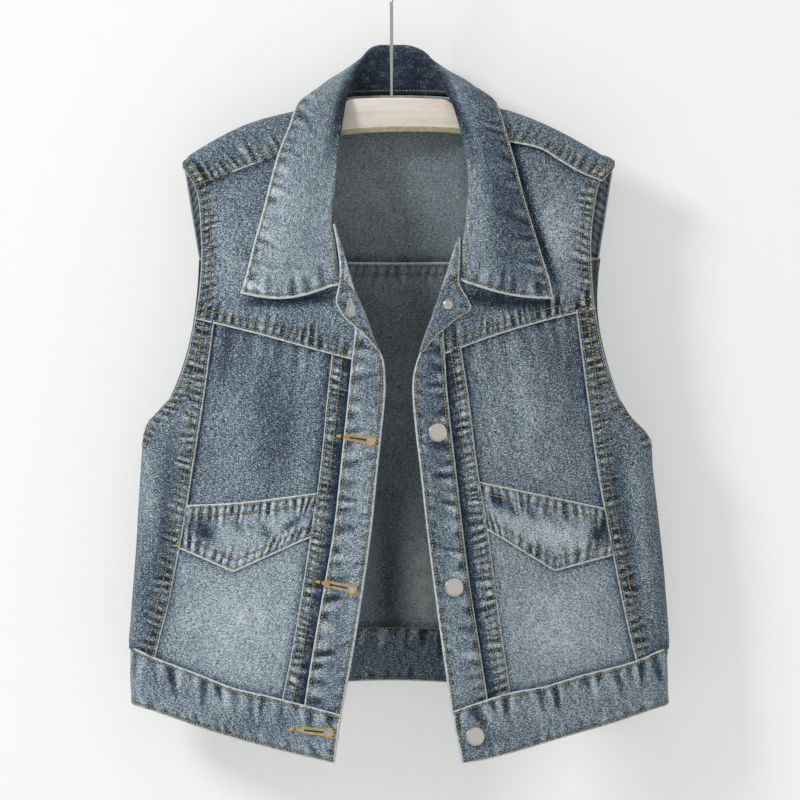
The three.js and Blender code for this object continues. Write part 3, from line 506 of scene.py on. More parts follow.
class Back:
    """The back below its yoke, and the lines that bound it."""

    def __init__(self):
        self.right = Curve.through(RIGHT_BACK_OUTER + tuple(r for r in RIGHT_OUTER if r[0] < -400))
        self.left = Curve.through(LEFT_BACK_OUTER + tuple(r for r in LEFT_OUTER if r[0] < -400))
        self.yoke = Curve.through(BACK_YOKE_SEAM)
        self.waist = Curve.through(BACK_WAIST)
        self.hem = Curve.through(BACK_HEM)
        self.outer_depth = Curve.through(BACK_DEPTH, 0, 1)
        self.middle_depth = Curve.through(BACK_DEPTH, 0, 2)

    def depth(self, x: Array, z: Array) -> Array:
        """The y of the back's middle surface at a place."""
        right, left = self.right(z), self.left(z)
        u = np.clip((x - right) / (left - right), 0, 1)
        outer = self.outer_depth(z)
        flat = lerp(outer, self.middle_depth(z), np.sin(np.pi * u) ** 0.8)
        distance = np.minimum(x - right, left - x)
        fold = fold_rise(BACK_FOLDS + BACK_CREASES, x, z)
        fold = fold * np.clip(distance / (2 * SIDE_ROUND), 0, 1)
        return flat + fold - side_round(np.maximum(distance, 0), outer - SEAM_GAP, z)


def shares(length: float, fine: float = CELL) -> Array:
    """Shares from 0 to 1 along a length, close together near both ends.

    Args:
        length: the length in millimetres.
        fine: the spacing away from the ends.

    Returns:
        The shares, ends included.
    """
    start = np.array([0.0, 0.35, 0.8, 1.4, 2.1, 2.8, 3.5, 4.4, 5.5, 6.8, 8.2, 9.2, 10.0, 10.8, 11.8, 13.2])
    start = start[start < length / 2 - 1.2]
    count = max(2, round((length - 2 * start[-1]) / fine))
    middle = np.linspace(start[-1], length - start[-1], count + 1)[1:-1]
    return np.concatenate([start, middle, (length - start)[::-1]]) / length


def patch(surface, start: Line, end: Line, top: Line, bottom: Line, across: Array, down: Array, tuck) -> Array:
    """A grid of points between two long lines and two cross lines.

    Args:
        surface: the front or back that gives the depth.
        start: x at -X for a height.
        end: x at +X for a height.
        top: upper z for an x.
        bottom: lower z for an x.
        across: shares of the way from start to end.
        down: shares of the way from top to bottom.
        tuck: how far the piece runs on past its start, end, top and bottom line.

    Returns:
        Points as columns from -X to +X, each running down.
    """
    s, t = across[:, None], down[None, :]
    z = lerp(float(top(0)), float(bottom(0)), t) + 0 * s
    x = z
    for _ in range(PATCH_TURNS):
        x = lerp(start(z) - tuck[0], end(z) + tuck[1], s)
        z = lerp(top(x) + tuck[2], bottom(x) - tuck[3], t)
    return np.stack([x, surface.depth(x, z), z], axis=-1)


def refine_along(grid: Array, axis: int, fine: float) -> Array:
    """Puts more points on smooth lines through a grid, along one of its axes.

    Args:
        grid: the coarse points.
        axis: 0 across the columns, 1 down the rows.
        fine: the wanted spacing.

    Returns:
        The fine points.
    """
    steps = np.linalg.norm(np.diff(grid, axis=axis), axis=-1).mean(axis=1 - axis)
    marks = np.concatenate([[0], np.cumsum(steps)])
    wanted = shares(marks[-1], fine) * marks[-1]
    k = np.arange(len(marks))
    low, high = np.maximum(k - 1, 0), np.minimum(k + 1, len(marks) - 1)
    grid = np.moveaxis(grid, axis, 0)
    slopes = (grid[high] - grid[low]) / (marks[high] - marks[low])[:, None, None]
    at = np.clip(np.searchsorted(marks, wanted, side="right") - 1, 0, len(marks) - 2)
    step = (marks[at + 1] - marks[at])[:, None, None]
    part = (wanted - marks[at])[:, None, None] / step
    fine_grid = bend_through(grid[at], grid[at + 1], slopes[at], slopes[at + 1], step, part)
    return np.moveaxis(fine_grid, 0, axis)


def refine(grid: Array, columns: float = CELL, rows: float = CELL) -> Array:
    """A fine grid on a smooth surface through a coarse one."""
    return refine_along(refine_along(grid, 1, rows), 0, columns)


def outwards(grid: Array) -> Array:
    """Unit directions out of the body at each point of a grid."""
    across = np.gradient(grid, axis=0)
    down = np.gradient(grid, axis=1)
    out = np.cross(down, across)
    return out / np.maximum(np.linalg.norm(out, axis=-1, keepdims=True), 1e-9)


def ripple(run: Array, seed: int, pitch: float) -> Array:
    """Uneven bars along a seam.

    Args:
        run: distance along the seam in millimetres.
        seed: chooses the pattern.
        pitch: the mean distance from bar to bar.

    Returns:
        Heights from -1 to 1.
    """
    rng = np.random.default_rng(seed)
    count = int(2 * (run.max() - run.min()) / pitch) + 8
    knots = run.min() - pitch + np.cumsum(rng.uniform(0.55, 1.45, count)) * pitch / 2
    heights = rng.uniform(0.3, 1, count) * np.where(np.arange(count) % 2, 1, -1)
    k = np.clip(np.searchsorted(knots, run) - 1, 0, count - 2)
    t = np.clip((run - knots[k]) / (knots[k + 1] - knots[k]), 0, 1)
    return lerp(heights[k], heights[k + 1], t * t * (3 - 2 * t))


@dataclass(frozen=True)
class Edge:
    """How one edge of a piece is finished, in millimetres from the edge.

    Attributes:
        tuck: how far the cloth runs on past the seam line, under its neighbour.
        rows: where the rows of stitches lie.
        raised: how far the turned seam stands out.
        width: how wide the turned seam is.
        pucker: height of the bars that the stitches pull up.
        pitch: mean distance between two bars.
        reach: how far the longest bars run on past the turned seam.
        rim: how pale the worn fold is.
        fold: how wide the worn fold is.
        shade: painted shade, how dark the cloth is in the crevice beside it.
        dip: how far the cloth lies back there.
        gather: how strong the soft folds are that start at the seam.
        down_to: the height at which the finish ends.
    """

    tuck: float = -SEAM_GAP / 2
    rows: tuple[float, ...] = ()
    raised: float = 0.0
    width: float = 9.0
    pucker: float = 0.0
    pitch: float = 8.0
    reach: float = 3.0
    rim: float = 0.0
    fold: float = 1.7
    shade: float = 0.0
    dip: float = 0.0
    gather: float = 0.0
    down_to: float = -1000.0


LAPPED = Edge(rows=(2.9, 10.4), raised=0.75, width=11.5, pucker=0.8, pitch=7.5, reach=4.0, rim=1.0)
ARMHOLE = Edge(rows=(2.7, 9.6), raised=0.6, width=10.5, pucker=0.6, pitch=6.5, rim=0.55, fold=1.2)
ARMHOLE_ENDS = replace(ARMHOLE, down_to=-437.0)
FREE = Edge(rows=(3.4,), raised=0.15, width=5.0, pucker=0.26, pitch=11.0, rim=0.9)
TUCKED = Edge(tuck=3.0, shade=0.75, dip=0.55)
GATHERED = replace(TUCKED, gather=0.55)
PLAIN = Edge(tuck=3.0)
LAPPED_OVER_POCKET = Edge(rows=(2.8, 10.0), raised=1.3, width=11.0, pucker=0.72, pitch=7.0, rim=0.65, fold=1.25)
VEE = Edge(rows=(3.2, 11.0), raised=0.8, width=12.0, pucker=0.7, reach=3.0, rim=1.0)
PLACKET_SEAM = Edge(rows=(3.4,), raised=0.45, width=7.0, pucker=0.6, pitch=15.0, reach=5.0, rim=0.9, fold=1.4)
TROUGH = Edge(tuck=3.0, shade=1.1, dip=1.1)
DEEP = Edge(tuck=3.0, shade=0.7, dip=1.2)
DEEPER = Edge(tuck=3.0, shade=0.8, dip=1.6)
POCKET_SIDE = Edge(tuck=3.0, shade=0.7, dip=1.5)
SIDE_SEAM = Edge(tuck=0.4, shade=0.3, dip=0.4)
BACK_LAP = Edge(rows=(2.4, 10.8), raised=1.5, width=11.5, pucker=0.4, rim=0.9)
BAND_TOP = Edge(rows=(3.2,), raised=0.55, width=7.0, pucker=0.68, pitch=15.0, reach=8.0, rim=1.0)
BAND_FOOT = Edge(rows=(2.8,), raised=0.2, width=5.0, pucker=0.3, pitch=13.0, reach=4.0, rim=0.7, fold=1.3)
COLLAR_RIM = Edge(rows=(3.8,), raised=0.35, width=8.0, pucker=0.42, pitch=13.0, reach=8.0, rim=1.0, fold=2.3)
COLLAR_END = replace(COLLAR_RIM, pucker=0.5, pitch=12.0, reach=7.0)
ROLL = Edge(tuck=0.0, rim=0.2)
PLAIN_END = Edge(tuck=0.0)


@dataclass
class Sheet:
    """A piece of cloth before it becomes a mesh: its middle surface and what lies on it.

    Attributes:
        name: the piece's name.
        grid: points in millimetres, columns round the body and rows down.
        thick: the wall.
        level: how far the wall's middle stands out from the grid.
        edges: how the start, end, top and bottom edge are finished.
        seed: chooses the pattern of the puckers.
        turned: whether the weft runs down the grid.
        inside_light_and_shade: painted light and painted shadow on the inside alone, above zero where paler.
    """

    name: str
    grid: Array
    thick: float
    level: float
    edges: tuple[Edge, Edge, Edge, Edge]
    seed: int = 1
    turned: bool = False
    inside_light_and_shade: Array | float = 0.0
    # how pale the cloth is: its washed and worn places, with painted shade and painted highlight
    wear: Array = field(init=False)
    rim: Array = field(init=False)
    relief: Array = field(init=False)
    out: Array = field(init=False)

    def __post_init__(self) -> None:
        self.out = outwards(self.grid)
        across = np.linalg.norm(np.diff(self.grid, axis=0), axis=-1)
        down = np.linalg.norm(np.diff(self.grid, axis=1), axis=-1)
        self.u = np.pad(np.cumsum(across, axis=0), ((1, 0), (0, 0)))
        self.v = np.pad(np.cumsum(down, axis=1), ((0, 0), (1, 0)))
        self.wear = np.zeros(self.u.shape)
        self.rim = np.zeros(self.u.shape)
        self.relief = np.zeros(self.u.shape)
        self.finish_edges()

    def distances(self) -> list[tuple[Array, Array]]:
        """The distance from each edge and the run along it, for start, end, top and bottom."""
        return [
            (self.u, self.v),
            (self.u[-1] - self.u, self.v),
            (self.v, self.u),
            (self.v[:, -1:] - self.v, self.u),
        ]

    def finish_edges(self) -> None:
        """Raises, puckers and wears the cloth along its edges, and paints shade in the crevices and stitch grooves
        there.
        """
        height = self.grid[..., 2]
        for number, (edge, (far, run)) in enumerate(zip(self.edges, self.distances())):
            seed = self.seed * 10 + number
            here = smooth(height, edge.down_to - 4, edge.down_to + 4)
            self.relief += here * edge.raised * (1 - smooth(far, edge.width - 1.5, edge.width + 2.5))
            self.relief -= edge.dip * (1 - smooth(far, 0, edge.tuck + 4.5))
            if edge.tuck < 0.5:
                self.relief -= 0.24 * self.thick * np.sqrt(1 - np.clip(far / 0.9, 0, 1) ** 0.7)
            for row in edge.rows:
                groove = here * np.exp(-(((far - row) / 1.1) ** 2))
                self.relief -= 0.3 * groove
                # painted shade along the groove that the row pulls into the cloth
                self.wear -= 0.8 * groove
            ragged = edge.fold * (1 + 0.3 * ripple(run, seed + 300, 7.0))
            self.rim = np.maximum(self.rim, here * edge.rim * (1 - smooth(far / ragged, 0.55, 1.15)))
            beside = np.clip(far - max(edge.tuck, 0), 0, None)
            # painted shade in the crevice where the cloth comes out from under its neighbour
            self.wear -= edge.shade * np.exp(-((beside / 3.6) ** 1.2))
            if edge.gather:
                folds = ripple(run + 0.12 * far * ripple(run, seed + 80, 50.0), seed + 60, 15.0)
                reach = 30 * (1 + 0.6 * ripple(run, seed + 70, 26.0))
                folds = edge.gather * folds * np.exp(-((beside / reach) ** 1.5))
                self.relief += 0.9 * folds
                self.wear += folds
            if edge.pucker:
                slant = 0.25 * ripple(run, seed + 500, 60.0)
                bars = ripple(run + slant * far, seed, edge.pitch)
                bars = np.sign(bars) * np.abs(bars) ** 0.75
                reach = edge.width + edge.reach * (1 + 1.6 * ripple(run, seed + 700, 23.0))
                envelope = here * smooth(far, 0.4, 2.4) * (1 - smooth(far, 0.7 * reach, 1.4 * reach))
                self.relief += edge.pucker * bars * envelope
                strength = 0.66 + 0.34 * ripple(run, seed + 900, 41.0)
                self.wear += 3.1 * edge.pucker * strength * np.where(bars > 0, 0.6, 1.0) * bars * envelope

    def at(self, rise: Callable, table: Sequence[Sequence[float]]) -> Array:
        """Reads a table at each point.

        Args:
            rise: fold_rise or wash_at.
            table: its rows.

        Returns:
            The values.
        """
        return rise(table, self.grid[..., 0], self.grid[..., 2])

    def shift(self, change: Array) -> None:
        """Adds to how pale the cloth is."""
        self.wear += change

    def outer_points(self) -> Array:
        """The outside of the cloth."""
        return self.grid + self.out * (self.level + self.thick / 2 + self.relief)[..., None]

    def inner_points(self) -> Array:
        """The inside of the cloth, which follows the outside more softly."""
        return self.grid + self.out * (self.level - self.thick / 2 + 0.25 * self.relief)[..., None]

    def area(self) -> float:
        """The flat area of one face in square metres."""
        a = self.grid[1:, :-1] - self.grid[:-1, :-1]
        b = self.grid[:-1, 1:] - self.grid[:-1, :-1]
        return float(np.linalg.norm(np.cross(a, b), axis=-1).sum()) * MM * MM

    def flat(self) -> tuple[float, float]:
        """The width and length of the flat piece in metres."""
        return float(self.u[-1].max()) * MM, float(self.v[:, -1].max()) * MM

    def row_line(self, side: int, far: float, inside: bool = False) -> Array:
        """The points of a row of stitches.

        Args:
            side: 0 start, 1 end, 2 top, 3 bottom.
            far: distance from that edge.
            inside: whether the row lies on the inside of the cloth.

        Returns:
            Points along the row.
        """
        points = self.inner_points() if inside else self.outer_points()
        points = points + self.out * (-0.25 if inside else 0.25)
        distances = [far_run[0] for far_run in self.distances()]
        ends = (2, 3) if side < 2 else (0, 1)
        margins = [distances[k] - (2.6 if self.edges[k].tuck < 0.5 else 0.0) for k in ends]
        both = np.concatenate([points, np.minimum(*margins)[..., None]], axis=-1)
        distance = distances[side]
        if side < 2:
            both, distance = both.swapaxes(0, 1), distance.T
        if side in (1, 3):
            both, distance = both[:, ::-1], distance[:, ::-1]
        found = []
        for line, marks in zip(both, distance):
            x, y, z, margin = (np.interp(far, marks, line[:, k]) for k in range(4))
            if marks[-1] > far and z > self.edges[side].down_to and margin >= 0:
                found.append((x, y, z))
        return np.array(found)

    def build(self, materials: Sequence[bpy.types.Material]) -> bpy.types.Object:
        """Makes the closed shell.

        Args:
            materials: for the outside and the inside.

        Returns:
            The new object, in metres.
        """
        columns, rows = self.u.shape
        count = columns * rows
        outer = np.arange(count).reshape(columns, rows)
        inner = outer + count
        a, b, c, d = outer[:-1, :-1], outer[:-1, 1:], outer[1:, 1:], outer[1:, :-1]
        faces = [np.stack([a, b, c, d], axis=-1).reshape(-1, 4)]
        faces.append(np.stack([a, d, c, b], axis=-1).reshape(-1, 4) + count)
        for o, i, flip in (
            (outer[:, 0], inner[:, 0], False),
            (outer[:, -1], inner[:, -1], True),
            (outer[0], inner[0], True),
            (outer[-1], inner[-1], False),
        ):
            strip = np.stack([o[:-1], o[1:], i[1:], i[:-1]], axis=-1)
            faces.append(strip[:, ::-1] if flip else strip)
        points = np.concatenate([self.outer_points().reshape(-1, 3), self.inner_points().reshape(-1, 3)])
        polygons = np.concatenate(faces)
        mesh = bpy.data.meshes.new(self.name)
        mesh.from_pydata(metres(points).tolist(), [], polygons.tolist())
        for material in materials:
            mesh.materials.append(material)
        slots = np.zeros(len(polygons), np.int32)
        slots[len(faces[0]) : 2 * len(faces[0])] = 1
        mesh.polygons.foreach_set("material_index", slots)
        mesh.polygons.foreach_set("use_smooth", np.ones(len(polygons), bool))
        for name, values, within in (("wear", self.wear, self.wear + self.inside_light_and_shade), ("rim", self.rim, self.rim)):
            layer = mesh.attributes.new(name, "FLOAT", "POINT")
            layer.data.foreach_set("value", np.concatenate([values.ravel(), within.ravel()]).astype(np.float32))
        flat = np.stack([self.v, self.u] if self.turned else [self.u, self.v], axis=-1)
        flat = np.tile(flat.reshape(-1, 2) * MM, (2, 1))
        layer = mesh.uv_layers.new(name="cloth")
        layer.data.foreach_set("uv", flat[polygons.ravel()].astype(np.float32).ravel())
        mesh.update()
        return place_object(self.name, mesh)


def on_sheet(sheet: Sheet, flat: Array, lift: float) -> Array:
    """Puts points given as x and z on the outside of a sheet."""
    outer = sheet.outer_points().reshape(-1, 3)
    found = []
    for x, z in flat:
        nearest = outer[np.argmin((outer[:, 0] - x) ** 2 + (outer[:, 2] - z) ** 2)]
        found.append([x, nearest[1] - lift, z])
    return np.array(found)


def place_object(name: str, data) -> bpy.types.Object:
    """Puts new data into the scene as an object."""
    obj = bpy.data.objects.new(name, data)
    bpy.context.scene.collection.objects.link(obj)
    return obj


def ring(middle: Array, way: Array, radius: float, sides: int) -> Array:
    """Points round a line.

    Args:
        middle: a point of the line.
        way: the line's direction there, which isn't along Y.
        radius: how far out the points lie.
        sides: how many there are.

    Returns:
        The points.
    """
    side = np.cross(way / np.linalg.norm(way), (0, 1, 0))
    turns = 2 * np.pi * np.arange(sides)[:, None] / sides
    return middle + radius * (side * np.cos(turns) + np.array([0, 1, 0]) * np.sin(turns))


def skin(rings: int, sides: int, loop: bool = False, first: int = 0) -> list[tuple[int, ...]]:
    """The faces that join rings of points.

    Args:
        rings: how many rings there are.
        sides: points in each.
        loop: whether the last ring is joined to the first.
        first: the number of the first point.

    Returns:
        The faces, ring by ring.
    """
    faces = []
    for low in range(0, (rings if loop else rings - 1) * sides, sides):
        high = (low + sides) % (rings * sides)
        for k in range(sides):
            n = (k + 1) % sides
            faces.append(tuple(first + v for v in (low + k, low + n, high + n, high + k)))
    return faces


def lids(rings: int, sides: int, first: int = 0) -> list[tuple[int, ...]]:
    """The flat faces at both ends of rings of points."""
    last = first + (rings - 1) * sides
    return [tuple(range(first + sides - 1, first - 1, -1)), tuple(range(last, last + sides))]


def metres(points: Array) -> Array:
    """Turns millimetres from the tables' zero into metres from the origin."""
    return (np.asarray(points, float) + (0.0, 0.0, TABLE_ZERO)) * MM


def mesh_object(name: str, points: Array, faces: Sequence, material: bpy.types.Material) -> bpy.types.Object:
    """Makes a smooth object from points in millimetres.

    Args:
        name: the object's name.
        points: its vertices.
        faces: its polygons.
        material: its one material.

    Returns:
        The new object.
    """
    mesh = bpy.data.meshes.new(name)
    mesh.from_pydata(metres(points).tolist(), [], [list(map(int, f)) for f in faces])
    mesh.polygons.foreach_set("use_smooth", np.ones(len(mesh.polygons), bool))
    mesh.materials.append(material)
    mesh.update()
    return place_object(name, mesh)


class Thread:
    """Sews rows of stitches with one Geometry Nodes group."""

    def __init__(self, material: bpy.types.Material):
        self.material = material
        self.stitch = self.make_stitch()
        self.group = self.make_group()

    def make_stitch(self) -> bpy.types.Object:
        """One stitch of thread, lying along X."""
        half, radius, sides = 1.3, 0.56, 6
        profile = ((-0.62, 0.8), (0.0, 1.0), (0.62, 0.8))
        points = [(-half, 0, -0.22)]  # the ends dip into the cloth
        for along, swell in profile:
            for k in range(sides):
                turn = 2 * math.pi * k / sides
                points.append((along * half, radius * swell * math.cos(turn), radius * swell * math.sin(turn)))
        points.append((half, 0, -0.22))
        faces = [(0, 1 + (k + 1) % sides, 1 + k) for k in range(sides)]
        faces += skin(len(profile), sides, first=1)
        low = 1 + (len(profile) - 1) * sides
        faces += [(low + k, low + (k + 1) % sides, len(points) - 1) for k in range(sides)]
        obj = mesh_object("stitch", np.array(points) - (0, 0, TABLE_ZERO), faces, self.material)
        obj.hide_render = obj.hide_viewport = True
        return obj

    def make_group(self) -> bpy.types.NodeTree:
        """The node group that lays stitches along curves."""
        group = bpy.data.node_groups.new("Row of stitches", "GeometryNodeTree")
        face = group.interface
        for name, kind, value in (
            ("Rows", "Geometry", None),
            ("Stitch", "Object", None),
            ("Pitch", "Float", STITCH_PITCH * MM),
            ("Seed", "Int", STITCH_SEED),
            ("Thread", "Material", self.material),
        ):
            socket = face.new_socket(name, in_out="INPUT", socket_type="NodeSocket" + kind)
            if value is not None:
                socket.default_value = value
        face.new_socket("Stitches", in_out="OUTPUT", socket_type="NodeSocketGeometry")
        add, link = group.nodes.new, group.links.new
        given, made = add("NodeGroupInput"), add("NodeGroupOutput")
        curve, even = add("GeometryNodeMeshToCurve"), add("GeometryNodeResampleCurve")
        socket = even.inputs.get("Mode")
        if socket is None:
            even.mode = "LENGTH"
        else:
            socket.default_value = "Length"
        place, info = add("GeometryNodeInstanceOnPoints"), add("GeometryNodeObjectInfo")
        tangent, turn = add("GeometryNodeInputTangent"), add("FunctionNodeAlignRotationToVector")
        turn.axis = "X"
        size = add("FunctionNodeRandomValue")
        size.data_type = "FLOAT_VECTOR"
        size.inputs[0].default_value = (0.82, 0.85, 0.85)
        size.inputs[1].default_value = (1.06, 1.1, 1.1)
        real, paint = add("GeometryNodeRealizeInstances"), add("GeometryNodeSetMaterial")
        for source, output, target, given_to in (
            (given, "Rows", curve, "Mesh"),
            (curve, "Curve", even, "Curve"),
            (given, "Pitch", even, "Length"),
            (tangent, 0, turn, "Vector"),
            (even, "Curve", place, "Points"),
            (given, "Stitch", info, "Object"),
            (info, "Geometry", place, "Instance"),
            (turn, "Rotation", place, "Rotation"),
            (given, "Seed", size, "Seed"),
            (size, 0, place, "Scale"),
            (place, "Instances", real, "Geometry"),
            (real, "Geometry", paint, "Geometry"),
            (given, "Thread", paint, "Material"),
            (paint, "Geometry", made, "Stitches"),
        ):
            link(source.outputs[output], target.inputs[given_to])
        return group

    def sew(self, name: str, lines: Sequence[Array], seed: int) -> bpy.types.Object:
        """Lays stitches along lines and bakes them to a plain mesh.

        Args:
            name: the new object's name.
            lines: points of each row in millimetres.
            seed: chooses how the stitches vary.

        Returns:
            The stitches as one object.
        """
        points = metres(np.concatenate(lines))
        starts = np.cumsum([0] + [len(line) for line in lines])[:-1]
        edges = [(s + k, s + k + 1) for s, line in zip(starts, lines) for k in range(len(line) - 1)]
        mesh = bpy.data.meshes.new(name)
        mesh.from_pydata(points.tolist(), [(int(a), int(b)) for a, b in edges], [])
        obj = place_object(name, mesh)
        rows = obj.modifiers.new("rows", "NODES")
        rows.node_group = self.group
        for item in self.group.interface.items_tree:
            if item.in_out != "INPUT" or item.socket_type == "NodeSocketGeometry":
                continue
            values = {"Stitch": self.stitch, "Pitch": STITCH_PITCH * MM, "Seed": seed, "Thread": self.material}
            rows[item.identifier] = values[item.name]
        graph = bpy.context.evaluated_depsgraph_get()
        baked = bpy.data.meshes.new_from_object(obj.evaluated_get(graph))
        obj.modifiers.remove(rows)
        obj.data = baked
        baked.name = name
        bpy.data.meshes.remove(mesh)
        return obj


def tint(red: int, green: int, blue: int) -> tuple[float, float, float, float]:
    """Turns a screen colour of 0 to 255 into linear light."""
    return tuple(((c / 255 + 0.055) / 1.055) ** 2.4 if c > 10 else c / 3294 for c in (red, green, blue)) + (1.0,)


class Graph:
    """Adds and joins the nodes of one shader tree."""

    def __init__(self, tree: bpy.types.NodeTree):
        self.tree = tree

    def add(self, kind: str, inputs: dict | None = None, **settings) -> bpy.types.Node:
        """Adds a node.

        Args:
            kind: the node's type.
            inputs: values or sockets for its inputs.
            settings: its other settings.

        Returns:
            The node.
        """
        node = self.tree.nodes.new(kind)
        for name, value in settings.items():
            setattr(node, name, value)
        for name, value in (inputs or {}).items():
            if isinstance(value, bpy.types.NodeSocket):
                self.tree.links.new(value, node.inputs[name])
            else:
                node.inputs[name].default_value = value
        return node

    def link(self, source: bpy.types.NodeSocket, target: bpy.types.NodeSocket) -> None:
        """Joins an output to an input."""
        self.tree.links.new(source, target)

    def place(self) -> bpy.types.NodeSocket:
        """The object's own coordinates."""
        return self.add("ShaderNodeTexCoord").outputs["Object"]

    def ramp(self, value: bpy.types.NodeSocket, stops: Sequence) -> bpy.types.NodeSocket:
        """Turns a value into a colour.

        Args:
            value: the value.
            stops: rows of place and screen colour, from 0 to 1.

        Returns:
            The colour.
        """
        node = self.add("ShaderNodeValToRGB", {"Fac": value})
        for at, _ in stops[1:-1]:
            node.color_ramp.elements.new(at)
        for stop, (at, colour) in zip(node.color_ramp.elements, stops):
            stop.position, stop.color = at, tint(*colour)
        return node.outputs[0]

    def bump(self, shader: bpy.types.Node, height, strength: float, distance: float) -> None:
        """Gives a shader a bump."""
        values = {"Height": height, "Strength": strength, "Distance": distance}
        self.link(self.add("ShaderNodeBump", values).outputs[0], shader.inputs["Normal"])

    def math(self, operation: str, a, b=0.0, c=0.0) -> bpy.types.NodeSocket:
        """Joins two or three values."""
        return self.add("ShaderNodeMath", {0: a, 1: b, 2: c}, operation=operation).outputs[0]

    def noise(self, place, scale: float, detail: float = 2.0, rough: float = 0.6, stretch=(1, 1, 1)):
        """A noise around zero.

        Args:
            place: the coordinates.
            scale: lumps per metre.
            detail: how many finer layers.
            rough: how strong they are.
            stretch: how the lumps are squeezed along each axis.

        Returns:
            A value from about -0.5 to 0.5.
        """
        moved = self.add("ShaderNodeMapping", {"Vector": place, "Scale": stretch}).outputs[0]
        values = {"Vector": moved, "Scale": scale, "Detail": detail, "Roughness": rough}
        return self.math("SUBTRACT", self.add("ShaderNodeTexNoise", values).outputs["Fac"], 0.5)


def new_group(name: str, inputs: dict[str, float], outputs: Sequence[str]) -> bpy.types.NodeTree:
    """Makes an empty shader group.

    Args:
        name: its name.
        inputs: the names and values of its inputs.
        outputs: the names of its outputs.

    Returns:
        The group.
    """
    group = bpy.data.node_groups.new(name, "ShaderNodeTree")
    for key, value in inputs.items():
        group.interface.new_socket(key, in_out="INPUT", socket_type="NodeSocketFloat").default_value = value
    for key in outputs:
        group.interface.new_socket(key, in_out="OUTPUT", socket_type="NodeSocketFloat")
    return group


def make_denim_group() -> bpy.types.NodeTree:
    """The weave, flecks, worn places and painted shade that every denim shares."""
    given = {"Shade": 0.5, "Fleck": 1.0, "Wear": 0.0, "Rim": 0.0}
    group = new_group("Denim cloth", given, ("Fade", "Pale", "Height"))
    g = Graph(group)
    start, end = g.add("NodeGroupInput"), g.add("NodeGroupOutput")
    place = g.place()
    flat = g.add("ShaderNodeUVMap", uv_map="cloth").outputs[0]
    grain = g.noise(place, 1500.0, 1.0, 0.5)
    lumps = g.noise(place, 300.0, 2.0, 0.6, (1, 1, 0.8))
    slubs = g.noise(flat, 900.0, 1.0, 0.5, (1, 0.08, 1))
    weft = g.noise(flat, 1250.0, 1.0, 0.5, (0.25, 1, 1))
    cloud = g.noise(place, 38.0, 3.0, 0.55)
    blots = g.noise(place, 115.0, 2.0, 0.55)
    twill = g.add("ShaderNodeMapping", {"Vector": flat, "Rotation": (0, 0, math.radians(62))}).outputs[0]
    twill = g.add("ShaderNodeTexWave", {"Vector": twill, "Scale": 330.0, "Distortion": 1.4, "Detail": 1.0})
    twill = g.math("SUBTRACT", twill.outputs["Fac"], 0.5)
    fleck = g.math("MULTIPLY", grain, 2.4)
    for layer, strength in ((lumps, 0.08), (slubs, 0.45), (weft, 1.35), (twill, 0.1)):
        fleck = g.math("MULTIPLY_ADD", layer, strength, fleck)
    fade = g.math("MULTIPLY_ADD", fleck, start.outputs["Fleck"], start.outputs["Shade"])
    fade = g.math("MULTIPLY_ADD", cloud, 0.2, fade)
    broken = g.math("MULTIPLY_ADD", blots, 1.9, 1.1)
    fade = g.math("MULTIPLY_ADD", blots, 0.08, fade)
    wear = g.math("MULTIPLY", start.outputs["Wear"], broken)
    fade = g.math("MULTIPLY_ADD", wear, 0.34, fade)
    rim = g.math("MULTIPLY_ADD", lumps, 1.5, 0.9)
    rim = g.add("ShaderNodeMath", {0: start.outputs["Rim"], 1: rim}, operation="MULTIPLY", use_clamp=True)
    height = g.math("MULTIPLY_ADD", twill, 0.5, g.math("MULTIPLY_ADD", grain, 1.2, lumps))
    for source, name in ((fade, "Fade"), (rim.outputs[0], "Pale"), (height, "Height")):
        g.link(source, end.inputs[name])
    return group


@dataclass(frozen=True)
class Denim:
    """One kind of denim.

    Attributes:
        name: the material's name.
        shade: how faded it is, from 0 to 1.
        fleck: how strong its flecks are.
        inside: whether it is the undyed inside.
    """

    name: str
    shade: float
    fleck: float = 1.0
    inside: bool = False


# How faded, and the screen colour
DYED = (
    (0.0, (30, 39, 51)), (0.26, (54, 68, 85)), (0.5, (100, 117, 130)), (0.74, (150, 165, 174)),
    (1.0, (208, 218, 223)),
)
UNDYED = (
    (0.0, (56, 66, 72)), (0.3, (88, 99, 105)), (0.55, (126, 138, 143)), (0.8, (162, 172, 174)),
    (1.0, (195, 201, 200)),
)
RIM_COLOUR = (197, 211, 219)


class Cloth(Enum):
    """The kinds of denim on the vest."""

    YOKE = Denim("yoke_denim", 0.425)
    BODY = Denim("body_denim", 0.47)
    POCKET = Denim("pocket_denim", 0.625, 0.85)
    COLLAR = Denim("collar_denim", 0.58, 0.85)
    BAND = Denim("band_denim", 0.57, 0.9)
    INSIDE = Denim("denim_inside", 0.5, 0.6, True)
    FACING = Denim("facing_denim", 0.42, 0.8)


